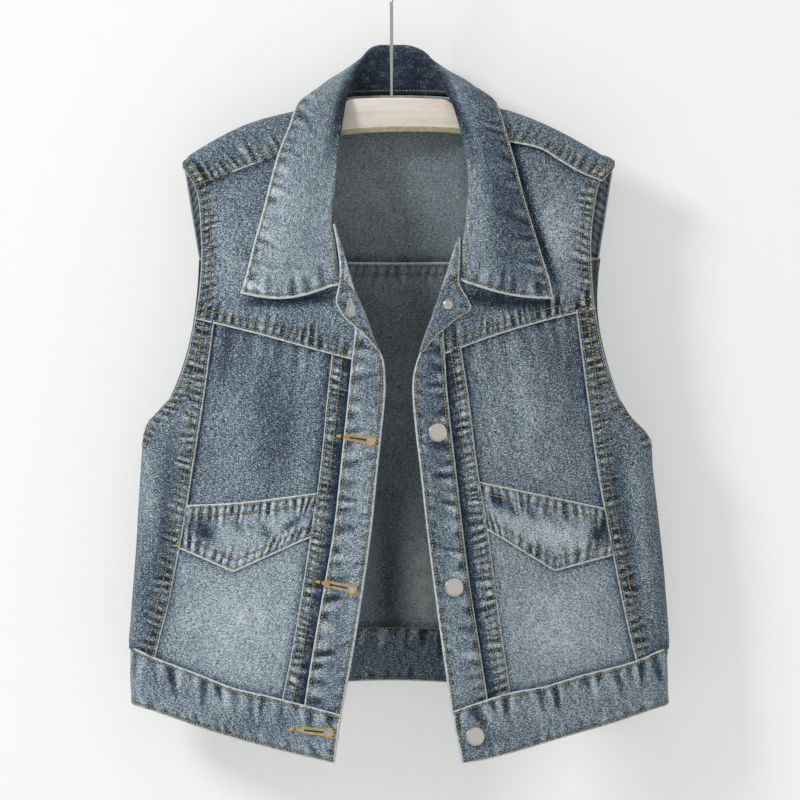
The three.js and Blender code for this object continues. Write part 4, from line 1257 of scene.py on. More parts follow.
class Palette:
    """Makes each material once."""

    def __init__(self):
        self.denim_group = make_denim_group()
        self.cloths = {cloth: self.make_denim(cloth.value) for cloth in Cloth}
        self.thread = self.make_plain("thread", (168, 145, 88), 0.85)
        self.pale_thread = self.make_plain("pale_thread", (158, 163, 163), 0.85, sheen=0.3)
        self.dark = self.make_plain("slit_shadow", (40, 47, 56), 0.9)
        self.gold_thread = self.make_plain("gold_thread", (196, 156, 74), 0.8)
        self.nickel = self.make_metal("nickel", (200, 193, 187), 0.36)
        self.wire = self.make_metal("hook_metal", (190, 190, 188), 0.22)
        self.beech = self.make_wood()
        self.lacquer = self.make_plain("board_edge", (140, 88, 52), 0.5)
        # The board's lower front bevel: the wood's greener tone there, with painted shade
        self.foot_tone_and_shade = self.make_plain("aged_edge", (168, 162, 130), 0.6)

    def start(self, name: str) -> tuple[bpy.types.Material, Graph, bpy.types.Node]:
        """An empty material, its graph and its shader."""
        material = bpy.data.materials.new(name)
        material.use_nodes = True
        material.node_tree.nodes.clear()
        graph = Graph(material.node_tree)
        shader = graph.add("ShaderNodeBsdfPrincipled")
        graph.add("ShaderNodeOutputMaterial", {"Surface": shader.outputs[0]})
        return material, graph, shader

    def make_denim(self, denim: Denim) -> bpy.types.Material:
        """A worn denim, driven by the cloth's worn places with painted shade, and by its rim."""
        material, g, shader = self.start(denim.name)
        cloth = g.add("ShaderNodeGroup", node_tree=self.denim_group)
        cloth.inputs["Shade"].default_value = denim.shade
        cloth.inputs["Fleck"].default_value = denim.fleck
        for name in ("wear", "rim"):
            value = g.add("ShaderNodeAttribute", attribute_name=name).outputs["Fac"]
            g.link(value, cloth.inputs[name.title()])
        blend = g.add("ShaderNodeMix", data_type="RGBA")
        colours = [s for s in blend.inputs if s.type == "RGBA"]
        g.link(cloth.outputs["Pale"], blend.inputs[0])
        g.link(g.ramp(cloth.outputs["Fade"], UNDYED if denim.inside else DYED), colours[0])
        colours[1].default_value = tint(*RIM_COLOUR)
        made = [s for s in blend.outputs if s.type == "RGBA"][0]
        g.link(made, shader.inputs["Base Color"])
        g.bump(shader, cloth.outputs["Height"], 0.55, 0.0006)
        shader.inputs["Roughness"].default_value = 0.92
        shader.inputs["Specular IOR Level"].default_value = 0.15
        shader.inputs["Sheen Weight"].default_value = 0.12
        return material

    def make_plain(self, name: str, colour: tuple[int, int, int], rough: float, sheen: float = 0.0):
        """A material of one colour that varies a little."""
        material, g, shader = self.start(name)
        change = g.math("MULTIPLY_ADD", g.noise(g.place(), 240.0), 0.9, 0.5)
        low = [round(c * 0.72) for c in colour]
        high = [min(255, round(c * 1.22)) for c in colour]
        g.link(g.ramp(change, ((0.0, low), (1.0, high))), shader.inputs["Base Color"])
        shader.inputs["Roughness"].default_value = rough
        shader.inputs["Sheen Weight"].default_value = sheen
        return material

    def make_metal(self, name: str, colour: tuple[int, int, int], rough: float) -> bpy.types.Material:
        """A satin metal with fine scuffs."""
        material, g, shader = self.start(name)
        shader.inputs["Base Color"].default_value = tint(*colour)
        shader.inputs["Metallic"].default_value = 1.0
        scuffs = g.math("MULTIPLY_ADD", g.noise(g.place(), 900.0, 3.0, 0.7), 0.25, rough)
        g.link(scuffs, shader.inputs["Roughness"])
        return material

    def make_wood(self) -> bpy.types.Material:
        """Pale beech, with grain along the board."""
        material, g, shader = self.start("beech")
        place = g.place()
        grain = g.noise(place, 260.0, 3.0, 0.6, (0.05, 1, 1))
        flecks = g.noise(place, 700.0, 1.0, 0.5, (0.22, 1, 1))
        cloud = g.noise(place, 22.0, 2.0, 0.5, (0.4, 1, 1))
        change = g.math("MULTIPLY_ADD", grain, 0.9, g.math("MULTIPLY_ADD", cloud, 0.8, 0.55))
        change = g.math("MULTIPLY_ADD", flecks, 0.35, change)
        colour = g.ramp(change, ((0.0, (196, 184, 168)), (1.0, (242, 235, 226))))
        g.link(colour, shader.inputs["Base Color"])
        g.bump(shader, grain, 0.25, 0.0004)
        shader.inputs["Roughness"].default_value = 0.5
        return material


class Workroom:
    def __init__(self, palette: Palette):
        self.palette = palette
        self.thread = Thread(palette.thread)

    def make(
        self,
        sheet: Sheet,
        node: str,
        cloth: Cloth,
        rests_on: Sequence[str],
        inside: Cloth = Cloth.INSIDE,
        lines: Sequence[Array] = (),
        with_pieces: Sequence[bpy.types.Object] = (),
    ) -> None:
        """Makes one piece of cloth with its stitches.

        Args:
            sheet: the piece.
            node: the solid that it takes the place of.
            cloth: the denim outside, whose name is also the material slot's.
            rests_on: the names of what it hangs from; not used.
            inside: the denim inside.
            lines: more rows of stitches.
            with_pieces: other pieces that lie on it.
        """
        obj = sheet.build([self.palette.cloths[cloth], self.palette.cloths[inside]])
        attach(obj, "root")
        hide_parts(node)
        rows = [sheet.row_line(side, far) for side, edge in enumerate(sheet.edges) for far in edge.rows]
        rows = [row for row in [*rows, *lines] if len(row) > 1]
        extra = list(with_pieces)
        if rows:
            sewn = self.thread.sew(sheet.name + "_thread", rows, sheet.seed)
            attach(sewn, "root")
            extra.append(sewn)
        area = sheet.area()
        LOG.info("%s: %d faces, %.4f m2", sheet.name, len(obj.data.polygons), area)


class FrontHalf:
    """One front of the vest: yoke, panels, strip, placket, pocket and lapel."""

    def __init__(self, front: Front, lapel_rows, room: Workroom):
        self.front = front
        self.lapel_rows = lapel_rows
        self.room = room

    def lay(self, outer: Line, inner: Line, top: Line, bottom: Line, size, edges) -> Array:
        """Lays a grid between lines, given as outer and inner rather than -X and +X.

        Args:
            outer: the line nearer the side.
            inner: the line nearer the middle.
            top: the line above.
            bottom: the line below.
            size: about how wide and long the piece is.
            edges: the finish of its outer, inner, top and bottom edge.

        Returns:
            The grid.
        """
        tuck = [edge.tuck for edge in edges]
        across, down = shares(size[0]), shares(size[1])
        if self.front.side < 0:
            return patch(self.front, outer, inner, top, bottom, across, down, tuck)
        tuck[0], tuck[1] = tuck[1], tuck[0]
        return patch(self.front, inner, outer, top, bottom, across, down, tuck)

    def sheet(self, name: str, grid: Array, thick: float, level: float, edges, seed: int) -> Sheet:
        """Makes a sheet on a grid and washes it like the rest of the front."""
        if self.front.side > 0:
            edges = (edges[1], edges[0], edges[2], edges[3])
        made = Sheet(f"cloth_{self.front.prefix}_{name}", grid, thick, level, tuple(edges), seed)
        made.shift(made.at(wash_at, FRONT_WASHES))
        if name == "front_strip":  # painted shade in the trough beside the placket; the rest of the strip is a little paler
            beside = np.abs(grid[..., 0] - self.front.placket(grid[..., 2]))
            made.shift(0.15 - 0.75 * (1 - smooth(beside, 6.0, 10.0)))
        else:
            # painted highlight on the folds' ridges and painted shade in their troughs
            made.shift(FOLD_LIGHT_AND_SHADE * made.at(fold_rise, FRONT_FOLDS + FRONT_CREASES))
        if name == "front_yoke":
            # painted shadow that the collar's leaves cast on the yoke
            made.shift(made.at(fold_rise, COLLAR_CAST_SHADOW))
        if name.startswith("pocket"):
            made.shift(made.at(fold_rise, POCKET_STREAKS))
        return made

    def finish(self, sheet: Sheet, node: str, cloth: Cloth, rests_on: str, **more) -> None:
        """Makes the object for a piece of this front."""
        self.room.make(sheet, f"{self.front.prefix}_{node}", cloth, [rests_on], **more)

    def panel(self, name: str, cloth: Cloth, lines, size, edges, seed: int, hung: str, level: float = ON_TOP) -> None:
        """Makes one piece of single cloth between four lines.

        Args:
            name: the piece's name and its node's.
            cloth: its denim.
            lines: its outer, inner, top and bottom line.
            size: about how wide and long it is.
            edges: how those four edges are finished.
            seed: chooses the pattern of the puckers.
            hung: the name of what it hangs from.
            level: how far its middle stands out.
        """
        grid = self.lay(*lines, size, edges)
        self.finish(self.sheet(name, grid, CLOTH, level, edges, seed), name, cloth, hung)

    def build(self) -> None:
        """Makes every piece of this front."""
        f, seed = self.front, 100 + 50 * self.front.side
        edges = (ARMHOLE, PLAIN, TUCKED, LAPPED)
        lines = (f.outer, f.neck, f.shoulder, f.yoke)
        self.panel("front_yoke", Cloth.YOKE, lines, (125, 155), edges, seed, "cloth_back_yoke")
        yoke = f"cloth_{f.prefix}_front_yoke"
        edges = (ARMHOLE_ENDS, LAPPED_OVER_POCKET, TUCKED, DEEP)
        lines = (f.outer, f.panel, f.yoke, f.waist)
        self.panel("front_side_panel", Cloth.BODY, lines, (40, 300), edges, seed + 1, yoke)
        edges = (TUCKED, TUCKED, GATHERED, TUCKED)
        lines = (f.panel, f.strip, f.yoke, f.waist)
        self.panel("front_centre_panel", Cloth.BODY, lines, (115, 315), edges, seed + 2, yoke, 0.0)
        edges = (LAPPED_OVER_POCKET, TROUGH, TUCKED, DEEP)
        lines = (f.strip, f.placket, f.yoke, f.waist)
        self.panel("front_strip", Cloth.BODY, lines, (20, 315), edges, seed + 3, yoke)
        self.build_placket(seed + 4)
        self.build_pocket(seed + 5)
        self.build_lapel(seed + 7)

    def build_placket(self, seed: int) -> None:
        """Makes the placket: a taper beside the yoke, then the straight band."""
        f = self.front
        edges = (PLACKET_SEAM, FREE, PLAIN, DEEP)
        upper_edges = (PLACKET_SEAM, FREE, PLAIN, Edge(tuck=0.0))
        lower_edges = (PLACKET_SEAM, FREE, Edge(tuck=0.0), DEEP)

        def top(x: Array) -> Array:
            return np.full(np.shape(x), PLACKET_TOP)

        def beside_strip(z: Array) -> Array:
            return f.placket(z) - f.side * 0.2

        upper = self.lay(f.neck, f.edge, top, f.yoke, (35, 60), upper_edges)
        lower = self.lay(beside_strip, f.edge, f.yoke, f.waist, (35, 310), lower_edges)
        joined = np.concatenate([upper[:, :-5], lower[:, 5:]], axis=1)
        sheet = self.sheet("placket", joined, DOUBLE, PLACKET_LEVEL, edges, seed)
        extra = Buttonholes(self.room.palette).build(sheet) if f.side < 0 else []
        hung = f"cloth_{f.prefix}_front_yoke"
        self.finish(sheet, "placket", Cloth.BAND, hung, inside=Cloth.BODY, with_pieces=extra)

    def build_pocket(self, seed: int) -> None:
        """Makes the pocket: the V-shaped piece under its mouth and the body below."""
        f = self.front
        base = f"cloth_{f.prefix}_front_centre_panel"
        edges = (POCKET_SIDE, POCKET_SIDE, LAPPED, VEE)
        lines = (f.panel, f.strip, f.mouth, f.vee)
        self.panel("pocket_yoke", Cloth.POCKET, lines, (117, 60), edges, seed, base, VEE_LIFT)
        edges = (POCKET_SIDE, POCKET_SIDE, TUCKED, DEEPER)
        lines = (f.panel, f.strip, f.vee, f.waist)
        self.panel("pocket_body", Cloth.POCKET, lines, (117, 115), edges, seed + 1, base, POCKET_LIFT)

    def build_lapel(self, seed: int) -> None:
        """Makes the lapel: the placket's top end turned out."""
        f = self.front
        lines = []
        for z, roll, free, lift in self.lapel_rows:
            x = lerp(roll, free, np.linspace(0, 1, 5))
            lines.append(np.stack([x, f.depth(x, np.full(5, z)) - lift, np.full(5, float(z))], axis=-1))
        grid = np.array(lines).swapaxes(0, 1)
        if f.side < 0:
            grid = grid[::-1]
        grid = refine(grid, 1.2, 1.5)
        edges = (FREE, ROLL) if f.side < 0 else (ROLL, FREE)
        sheet = Sheet(f"cloth_{f.prefix}_lapel", grid, DOUBLE, 0.0, (*edges, PLAIN_END, PLAIN_END), seed)
        seam = np.array(FACING_SEAMS[f.side], float)
        ordered = seam[np.argsort(seam[:, 0])]
        above = grid[..., 2] - np.interp(grid[..., 0], ordered[:, 0], ordered[:, 1])
        sheet.shift(lerp(-0.35, 0.3, smooth(above, -1.0, 1.0)) - 0.9 * np.exp(-((above / 1.4) ** 2)))
        run = np.linspace(0, 1, 12)
        marks = np.stack([np.interp(run, (0, 0.5, 1), seam[:, k]) for k in (0, 1)], axis=-1) - (0, 1.6)
        lines = [on_sheet(sheet, marks, 0.25)]
        extra = []
        if f.side < 0:
            palette = self.room.palette
            extra = Buttonholes(palette).one(sheet, TOP_HOLE, 1, palette.pale_thread)
        hung = f"cloth_{f.prefix}_placket"
        self.finish(sheet, "lapel", Cloth.BAND, hung, inside=Cloth.BAND, lines=lines, with_pieces=extra)


class Buttonholes:
    """Keyhole buttonholes: an eye toward the front edge and a slit, worked round with thread."""

    def __init__(self, palette: Palette):
        self.palette = palette

    def outline(self, far: tuple[float, float], near: tuple[float, float]) -> tuple[Array, Array]:
        """The keyhole's closed line and the way out of the slit at each point.

        Args:
            far: x and z of the slit's end.
            near: x and z of the eye's end.

        Returns:
            The points and the directions, as x and z.
        """
        far, near = np.array(far, float), np.array(near, float)
        along = (near - far) / np.linalg.norm(near - far)
        across = np.array([-along[1], along[0]])
        length = np.linalg.norm(near - far)
        widths = ((0, 0.2), (4, 0.9), (9, 2.3), (16, 2.6), (length - 9, 2.7), (length - 5, 3.5))
        half_width = Curve.through(widths)
        points, ways = [], []
        for turn in np.linspace(-118, 118, 25):
            a = math.radians(turn)
            way = along * math.cos(a) + across * math.sin(a)
            points.append(near - along * EYE_RADIUS + way * EYE_RADIUS)
            ways.append(way)
        back = np.linspace(length - 6.2, 3.5, 24)
        for sign, run in ((1, back), (-1, back[::-1])):
            for at in run:
                points.append(far + along * at + sign * across * float(half_width(at)))
                ways.append(sign * across)
        return np.array(points), np.array(ways)

    def one(self, sheet: Sheet, ends, number: int, thread=None) -> list[bpy.types.Object]:
        """Makes one buttonhole.

        Args:
            sheet: the piece that it is cut in.
            ends: x and z of the slit's end and of the eye's end.
            number: which one it is.
            thread: the material of its thread where it is frayed and pale, and golden where none is given.

        Returns:
            Its cord, slit, cut and thread.
        """
        flat, ways = self.outline(*ends)
        line = on_sheet(sheet, flat, 0.15)
        cut_colour = self.palette.pale_thread if thread else self.palette.dark
        thread = thread or self.palette.gold_thread
        count = len(line)
        cord = [ring(line[k], line[(k + 1) % count] - line[k - 1], CORD_RADIUS, 6) for k in range(count)]
        cord = self.solid(f"buttonhole_{number}_cord", np.concatenate(cord), skin(count, 6, loop=True), thread)
        slit = self.fill(line, f"buttonhole_{number}_slit", self.palette.pale_thread)
        near, away = line[27:43], line[55:71][::-1]  # the slit's two sides, clear of both ends
        middle = 0.5 * (near + away)
        gap = np.concatenate([lerp(middle, near, 0.3), lerp(middle, away, 0.3)[::-1]]) - (0, 0.3, 0)
        cut = self.fill(gap, f"buttonhole_{number}_cut", cut_colour)
        bars = []
        for point, way in zip(line, ways):
            reach = np.array([way[0], 0.0, way[1]]) * 0.95
            bars.append((point - reach + (0, -0.35, 0), point + reach + (0, -0.25, 0)))
        tack = on_sheet(sheet, np.array([ends[0]]), 0.3)[0]
        along = np.array([ends[0][0] - ends[1][0], 0, ends[0][1] - ends[1][1]])
        along = along / np.linalg.norm(along)
        up = np.array([-along[2], 0, along[0]])
        for k in (-1.3, -0.65, 0, 0.65, 1.3):
            bars.append((tack + up * k - along * 1.5, tack + up * k * 0.5 + along * 2.8))
        return [cord, slit, cut, self.whip(f"buttonhole_{number}_thread", bars, thread)]

    def solid(self, name: str, points: Array, faces: Sequence, material: bpy.types.Material) -> bpy.types.Object:
        """Makes an object that rides on the vest."""
        obj = mesh_object(name, points, faces, material)
        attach(obj, "root")
        return obj

    def whip(self, name: str, bars: Sequence, thread: bpy.types.Material) -> bpy.types.Object:
        """Makes short wrapped stitches.

        Args:
            name: the object's name.
            bars: where each stitch starts and ends.
            thread: its material.

        Returns:
            The stitches as one object.
        """
        points, faces = [], []
        swells = ((0.0, 0.4), (0.25, 1.0), (0.75, 1.0), (1.0, 0.4))
        for start, end in bars:
            first = 6 * len(points)
            faces += skin(len(swells), 6, first=first) + lids(len(swells), 6, first)
            points += [ring(lerp(start, end, at), end - start, WHIP_RADIUS * swell, 6) for at, swell in swells]
        return self.solid(name, np.concatenate(points), faces, thread)

    def fill(self, line: Array, name: str, material: bpy.types.Material) -> bpy.types.Object:
        """Makes a thin closed leaf inside a line."""
        count = len(line)
        points = np.concatenate([line + (0, -0.05, 0), line + (0, 0.25, 0)])
        faces = [tuple(range(count)), tuple(range(2 * count - 1, count - 1, -1))]
        faces += [(k, k + count, (k + 1) % count + count, (k + 1) % count) for k in range(count)]
        obj = self.solid(name, points, faces, material)
        obj.data.polygons.foreach_set("use_smooth", np.zeros(len(obj.data.polygons), bool))
        return obj

    def build(self, sheet: Sheet) -> list[bpy.types.Object]:
        """Makes the buttonholes of the placket."""
        made = []
        for number, ends in enumerate(BUTTONHOLES[:2], 2):
            made += self.one(sheet, ends, number)
        return made


class BackHalf:
    """The back yoke over the shoulders, the back panel and the waistband round both."""

    def __init__(self, back: Back, right: Front, left: Front, room: Workroom):
        self.back = back
        self.right = right
        self.left = left
        self.room = room

    def yoke_line(self, row: Sequence[float]) -> Array:
        """One line down the yoke, from its front seam over the shoulder's ridge to the back seam."""
        top_x, top_y, top_z, ridge_x, ridge_z, low_x = row
        low_z = float(self.back.yoke(low_x))
        start = np.array([top_x, top_y, top_z], float)

        def along(z: float) -> float:
            return lerp(ridge_x, low_x, (z - ridge_z) / (low_z - ridge_z))

        points = [start]
        over = top_y < 0
        if over:
            front_y = -min(RIDGE_HALF * 0.85, abs(top_y) * 0.9)
            front = np.array([ridge_x, front_y, max(ridge_z - RIDGE_DROP, lerp(top_z, ridge_z, 0.6))])
            points += [lerp(start, front, 0.5), front, np.array([ridge_x, 0.0, ridge_z])]
        else:
            for share in (0.12, 0.24, 0.36):
                z = lerp(start[2], NECK_FOOT, share)
                behind = max(float(self.back.depth(ridge_x, NECK_FOOT)), 14.0)
                points.append(np.array([lerp(top_x, ridge_x, share), lerp(top_y, behind, math.sqrt(share)), z]))
        crest = points[3]
        behind = RIDGE_HALF if over else max(crest[1], RIDGE_HALF)
        shoulder = crest[2] - RIDGE_DROP
        points.append(np.array([along(shoulder), lerp(crest[1], behind, 0.85), shoulder]))
        low = low_z + SEAM_GAP / 2
        for share in (0.2, 0.45, 0.72, 1.0):
            z = lerp(shoulder, low, share)
            x = along(z)
            y = lerp(behind, float(self.back.depth(x, z)), float(smooth(share, 0, 0.45)))
            points.append(np.array([x, y, z]))
        return np.array(points)

    def build(self) -> None:
        """Makes the yoke, the panel and the waistband."""
        self.build_yoke()
        self.build_panel()
        self.build_waistband()

    def build_yoke(self) -> None:
        """Makes the back yoke, which laps over the front yokes."""
        grid = refine(np.array([self.yoke_line(row) for row in YOKE_LINES]), 2.4, 2.2)
        rim = (ARMHOLE, ARMHOLE, LAPPED, TUCKED)
        sheet = Sheet("cloth_back_yoke", grid, CLOTH, ON_TOP, rim, 31)
        behind = grid[..., 1] > 0
        sheet.shift(np.where(behind, sheet.at(wash_at, BACK_WASHES), 0))
        self.room.make(sheet, "back_yoke", Cloth.YOKE, ["hanger_board"])

    def build_panel(self) -> None:
        """Makes the back panel, whose top laps over the yoke."""
        b = self.back
        edges = (SIDE_SEAM, SIDE_SEAM, BACK_LAP, DEEP)
        tuck = [edge.tuck for edge in edges]
        across, down = shares(460, BACK_CELL), shares(335, BACK_CELL)
        grid = patch(b, b.right, b.left, b.yoke, b.waist, across, down, tuck)[::-1]
        sheet = Sheet("cloth_back_panel", grid, CLOTH, 0.0, edges, 37)
        sheet.shift(sheet.at(wash_at, BACK_WASHES))
        # painted shadow and painted light on the inside of the back only
        sheet.inside_light_and_shade = sheet.at(wash_at, LINING_LIGHT_AND_SHADE)
        inside = [sheet.row_line(2, far, inside=True) for far in BACK_LAP.rows]
        self.room.make(sheet, "back_panel", Cloth.BODY, ["cloth_back_yoke"], lines=inside)

    def build_waistband(self) -> None:
        """Makes the waistband from the left front's edge round the back to the right front's."""
        down = shares(46.0, BAND_CELL)
        front_shares = lerp(0.12, 1.0, shares(165.0, BAND_CELL))[1:]
        front_shares = np.concatenate([np.linspace(0.02, 0.12, 8), front_shares])
        back_shares = np.concatenate([[0.008, 0.014, 0.022, 0.032, 0.043], np.linspace(0.055, 0.945, 190)])
        back_shares = np.concatenate([back_shares, 1 - back_shares[4::-1]])
        seam = [-SEAM_GAP / 2] * 4

        def low(curve: Curve) -> Line:
            return lambda x: curve(x) - 0.2

        f = self.right
        right = patch(f, f.outer, f.edge, low(f.waist), f.hem, front_shares, down, seam)
        f = self.left
        left = patch(f, f.edge, f.outer, low(f.waist), f.hem, (1 - front_shares)[::-1], down, seam)
        b = self.back
        back = patch(b, b.right, b.left, low(b.waist), b.hem, back_shares, down, seam)[::-1]

        def turn(f: Front) -> Array:
            z = lerp(float(f.waist(f.outer(SIDE_WAIST))) - 0.4, float(f.hem(f.outer(SIDE_HEM))), down)
            return np.stack([f.outer(z), np.zeros(len(z)), z], axis=-1)[None]

        grid = np.concatenate([left, turn(self.left), back, turn(self.right), right])
        grid = soften(grid, 3)
        edges = (FREE, FREE, BAND_TOP, BAND_FOOT)
        sheet = Sheet("cloth_waistband", grid, DOUBLE, ON_TOP, edges, 41)
        sheet.shift(np.where(grid[..., 1] < 0, sheet.at(wash_at, FRONT_WASHES), 0))
        inside = [sheet.row_line(side, 3.0, inside=True) for side in (2, 3)]
        extra = Buttonholes(self.room.palette).one(sheet, BUTTONHOLES[2], 4)
        names = ["cloth_back_panel", "cloth_right_placket", "cloth_left_placket"]
        self.room.make(sheet, "waistband", Cloth.BAND, names, Cloth.FACING, inside, extra)


def soften(grid: Array, turns: int) -> Array:
    """Evens out a grid along its columns, so that the side's turn is round."""
    for _ in range(turns):
        grid[1:-1] = 0.5 * grid[1:-1] + 0.25 * (grid[:-2] + grid[2:])
    return grid


class Collar:
    """The collar in one piece, stand and leaf, turned down over the neck seam."""

    def __init__(self, room: Workroom):
        self.room = room

    def line(self, row: Sequence[float]) -> Array:
        """One section of the collar from the neck over the roll to the rim of the leaf."""
        neck, roll, edge = (np.array(row[k : k + 3], float) for k in (0, 3, 6))
        start = lerp(roll, neck, min(0.5, COLLAR_FOLD / np.linalg.norm(neck - roll)))
        end = lerp(roll, edge, COLLAR_FOLD / np.linalg.norm(edge - roll))
        points = [neck, lerp(neck, start, 0.5)]
        for t in np.linspace(0, 1, 5):
            points.append((1 - t) ** 2 * start + 2 * t * (1 - t) * roll + t * t * end)
        for share in (0.18, 0.38, 0.58, 0.79, 1.0):
            point = lerp(end, edge, share)
            point[2] += row[10] * math.sin(math.pi * share)
            points.append(point)
        return np.array(points)

    def build(self) -> None:
        """Makes the collar."""
        grid = np.array([self.line(row) for row in COLLAR])
        out = outwards(grid)
        share = np.clip((np.arange(grid.shape[1]) - 6) / (grid.shape[1] - 7), 0, 1)
        swell = np.array([row[9] for row in COLLAR])[:, None] * np.sin(np.pi * share)[None, :]
        grid = refine(grid + out * swell[..., None], 2.0, 1.6)
        edges = (COLLAR_END, COLLAR_END, PLAIN_END, COLLAR_RIM)
        sheet = Sheet("cloth_collar", grid, DOUBLE, 0.0, edges, 43, turned=True)
        stand = sheet.v / sheet.v[:, -1:]
        # painted shade on the stand under the collar's fold, strongest at the back of the neck, with the darker
        # unworn cloth there
        sheet.shift(-1.6 * (1 - smooth(stand, 0.24, 0.42)) * smooth(grid[..., 2], -200, -120))
        # the wash's fading, and painted shade on the +X leaf
        sheet.shift(sheet.at(wash_at, COLLAR_WASH_AND_SHADE) * smooth(stand, 0.2, 0.5))
        rows = [sheet.row_line(2, 3.2)]
        self.room.make(sheet, "collar", Cloth.COLLAR, ["cloth_back_yoke"], Cloth.COLLAR, rows)


class Buttons:
    """Flat shank buttons on the left front and waistband, and the tacks behind them."""

    def __init__(self, front: Front, palette: Palette):
        self.front = front
        self.palette = palette

    def lathe(self, name: str, profile, node: str, place: Vector, facing: Vector, sides: int = 48) -> None:
        """Turns a profile about the button's axis.

        Args:
            name: the object's name.
            profile: rows of radius and height.
            node: the solid that it takes the place of.
            place: where the base's middle is, in millimetres.
            facing: the way that it faces.
            sides: points in each ring.
        """
        turn = Vector((0, 1, 0)).rotation_difference(facing)
        rings = profile[1:-1]
        points, faces = [], [face[::-1] for face in skin(len(rings), sides)]
        ends = [place + turn @ Vector((0, profile[k][1], 0)) for k in (0, -1)]
        for radius, height in rings:
            for k in range(sides):
                a = 2 * math.pi * k / sides
                points.append(place + turn @ Vector((radius * math.cos(a), height, radius * math.sin(a))))
        points += ends
        low, high = len(points) - 2, len(points) - 1
        last = (len(rings) - 1) * sides
        for k in range(sides):
            n = (k + 1) % sides
            faces += [(low, k, n), (last + n, last + k, high)]
        obj = mesh_object(name, np.array([tuple(p) for p in points]), faces, self.palette.nickel)
        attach(obj, "root")
        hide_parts(node)

    def build(self) -> None:
        """Makes each cap and tack."""
        rim = CAP_RADIUS
        cap = [(0, 0), (rim - 1.4, 0), (rim - 0.4, 0.4), (rim, 1.0), (rim, 1.7), (rim - 0.25, 2.2), (rim - 0.6, 2.4)]
        cap += [(rim - 0.95, 2.35), (rim - 1.2, 2.12), (rim - 2.0, 2.1), (rim / 2, 2.18), (0, 2.2)]
        tack = [(0, 0), (TACK_RADIUS - 0.3, 0), (TACK_RADIUS, 0.25), (TACK_RADIUS - 0.1, 0.55)]
        tack += [(TACK_RADIUS - 0.9, 1.0), (TACK_RADIUS - 1.6, 1.25), (1.2, 1.35), (0.8, 1.1), (0, 1.0)]
        clear = DOUBLE / 2 + SEAM_GAP + 0.5  # from the cloth's middle to a button's base
        for number, (x, z) in enumerate(BUTTONS, 2):
            out = self.front.normal(x, z)
            level = PLACKET_LEVEL if number < 4 else ON_TOP  # the lowest is on the waistband
            middle = self.front.point(x, z)
            self.lathe(f"cap_{number}", cap, f"button_cap_{number}", middle + out * (level + clear), out)
            self.lathe(f"tack_{number}", tack, f"button_tack_{number}", middle + out * (level - clear), -out)
        x, z, lift = TOP_BUTTON
        out = self.front.normal(x, z)
        middle = self.front.point(x, z)
        self.lathe("tack_1", tack, "button_tack_1", middle + out * (lift + clear), out)


class Hanger:
    """A shaped wooden board with a round wire hook."""

    def __init__(self, palette: Palette):
        self.palette = palette

    def build(self) -> None:
        """Makes the board and the hook."""
        self.build_board()
        self.build_hook()

    def build_board(self) -> None:
        """Makes the board: a rounded section swept along the line of the shoulders."""
        top = Curve.through(BOARD_TOP)
        foot = Curve.through(BOARD_FOOT)
        xs = np.linspace(BOARD_TOP[0][0], BOARD_TOP[-1][0], 150)
        half = BOARD_THICK / 2
        bevel = 2.2
        section = []
        for corner_y, corner_z, start in ((half, 1, 0), (-half, 1, 90), (-half, 0, 180), (half, 0, 270)):
            for k in range(5):
                a = math.radians(start + 22.5 * k)
                section.append((corner_y - math.copysign(bevel, corner_y), corner_z, math.cos(a), math.sin(a)))
        foot_front = 10  # the first point of the front's lower corner, which is planed off wider
        for k in range(4):
            y, up, across, rise = section[foot_front + k]
            section[foot_front + k] = (y, up, across * (1 - 0.24 * k), rise + 1.1 * (4 - k) / 4)
        points = []
        for x in xs:
            end = min(1.0, (x - xs[0]) / 6.0, (xs[-1] - x) / 6.0)
            shrink = math.sqrt(max(0.0, 1 - (1 - end) ** 2))
            high, low = float(top(x)), float(foot(x))
            middle = (high + low) / 2
            span = ((high - low) / 2 - bevel) * lerp(0.72, 1.0, shrink)
            for y, up, across, rise in section:
                z = middle + (span if up else -span)
                points.append((x, (y + across * bevel) * lerp(0.55, 1.0, shrink), z + rise * bevel))
        sides = len(section)
        faces = [face[::-1] for face in skin(len(xs), sides) + lids(len(xs), sides)]
        # the lower front bevel takes the greenish tone with painted shade
        kinds = [1 if k in (5, 6) else 2 if foot_front <= k < foot_front + 4 else 0 for k in range(sides)]
        slots = kinds * (len(xs) - 1) + [0, 0]
        obj = mesh_object("hanger_board", np.array(points), faces, self.palette.beech)
        for material in (self.palette.lacquer, self.palette.foot_tone_and_shade):
            obj.data.materials.append(material)
        obj.data.polygons.foreach_set("material_index", np.array(slots, np.int32))
        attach(obj, "root")
        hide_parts("hanger")

    def build_hook(self) -> None:
        """Makes the hook: up the stem, out to one side, over the top and a little down."""
        radius = HOOK_INNER + WIRE_RADIUS
        middle = -HOOK_INNER - TABLE_ZERO
        route = [Vector((0, 0, z)) for z in (HANGER_TOP + SEAM_GAP, -98, -80, -60, -46, -39, -34)]
        for degrees in (-45, -30, -15, 0, 15, 30, 45, 60, 75, 90, 105, 120, 135, 150, 165, 180, 190):
            a = math.radians(degrees)
            route.append(Vector((radius * math.cos(a), 0, radius * math.sin(a) + middle)))
        marks = refine_along(np.array([[tuple(p) for p in route]]), 1, 2.0)[0]
        sides, last = 16, len(marks) - 1
        points = []
        for k, point in enumerate(marks):
            way = marks[min(k + 1, last)] - marks[max(k - 1, 0)]
            points.append(ring(point, way, WIRE_RADIUS * (1.0 if 0 < k < last else 0.7), sides))
        faces = skin(len(marks), sides) + lids(len(marks), sides)
        obj = mesh_object("hook_wire", np.concatenate(points), faces, self.palette.wire)
        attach(obj, "root")
        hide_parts("hook")


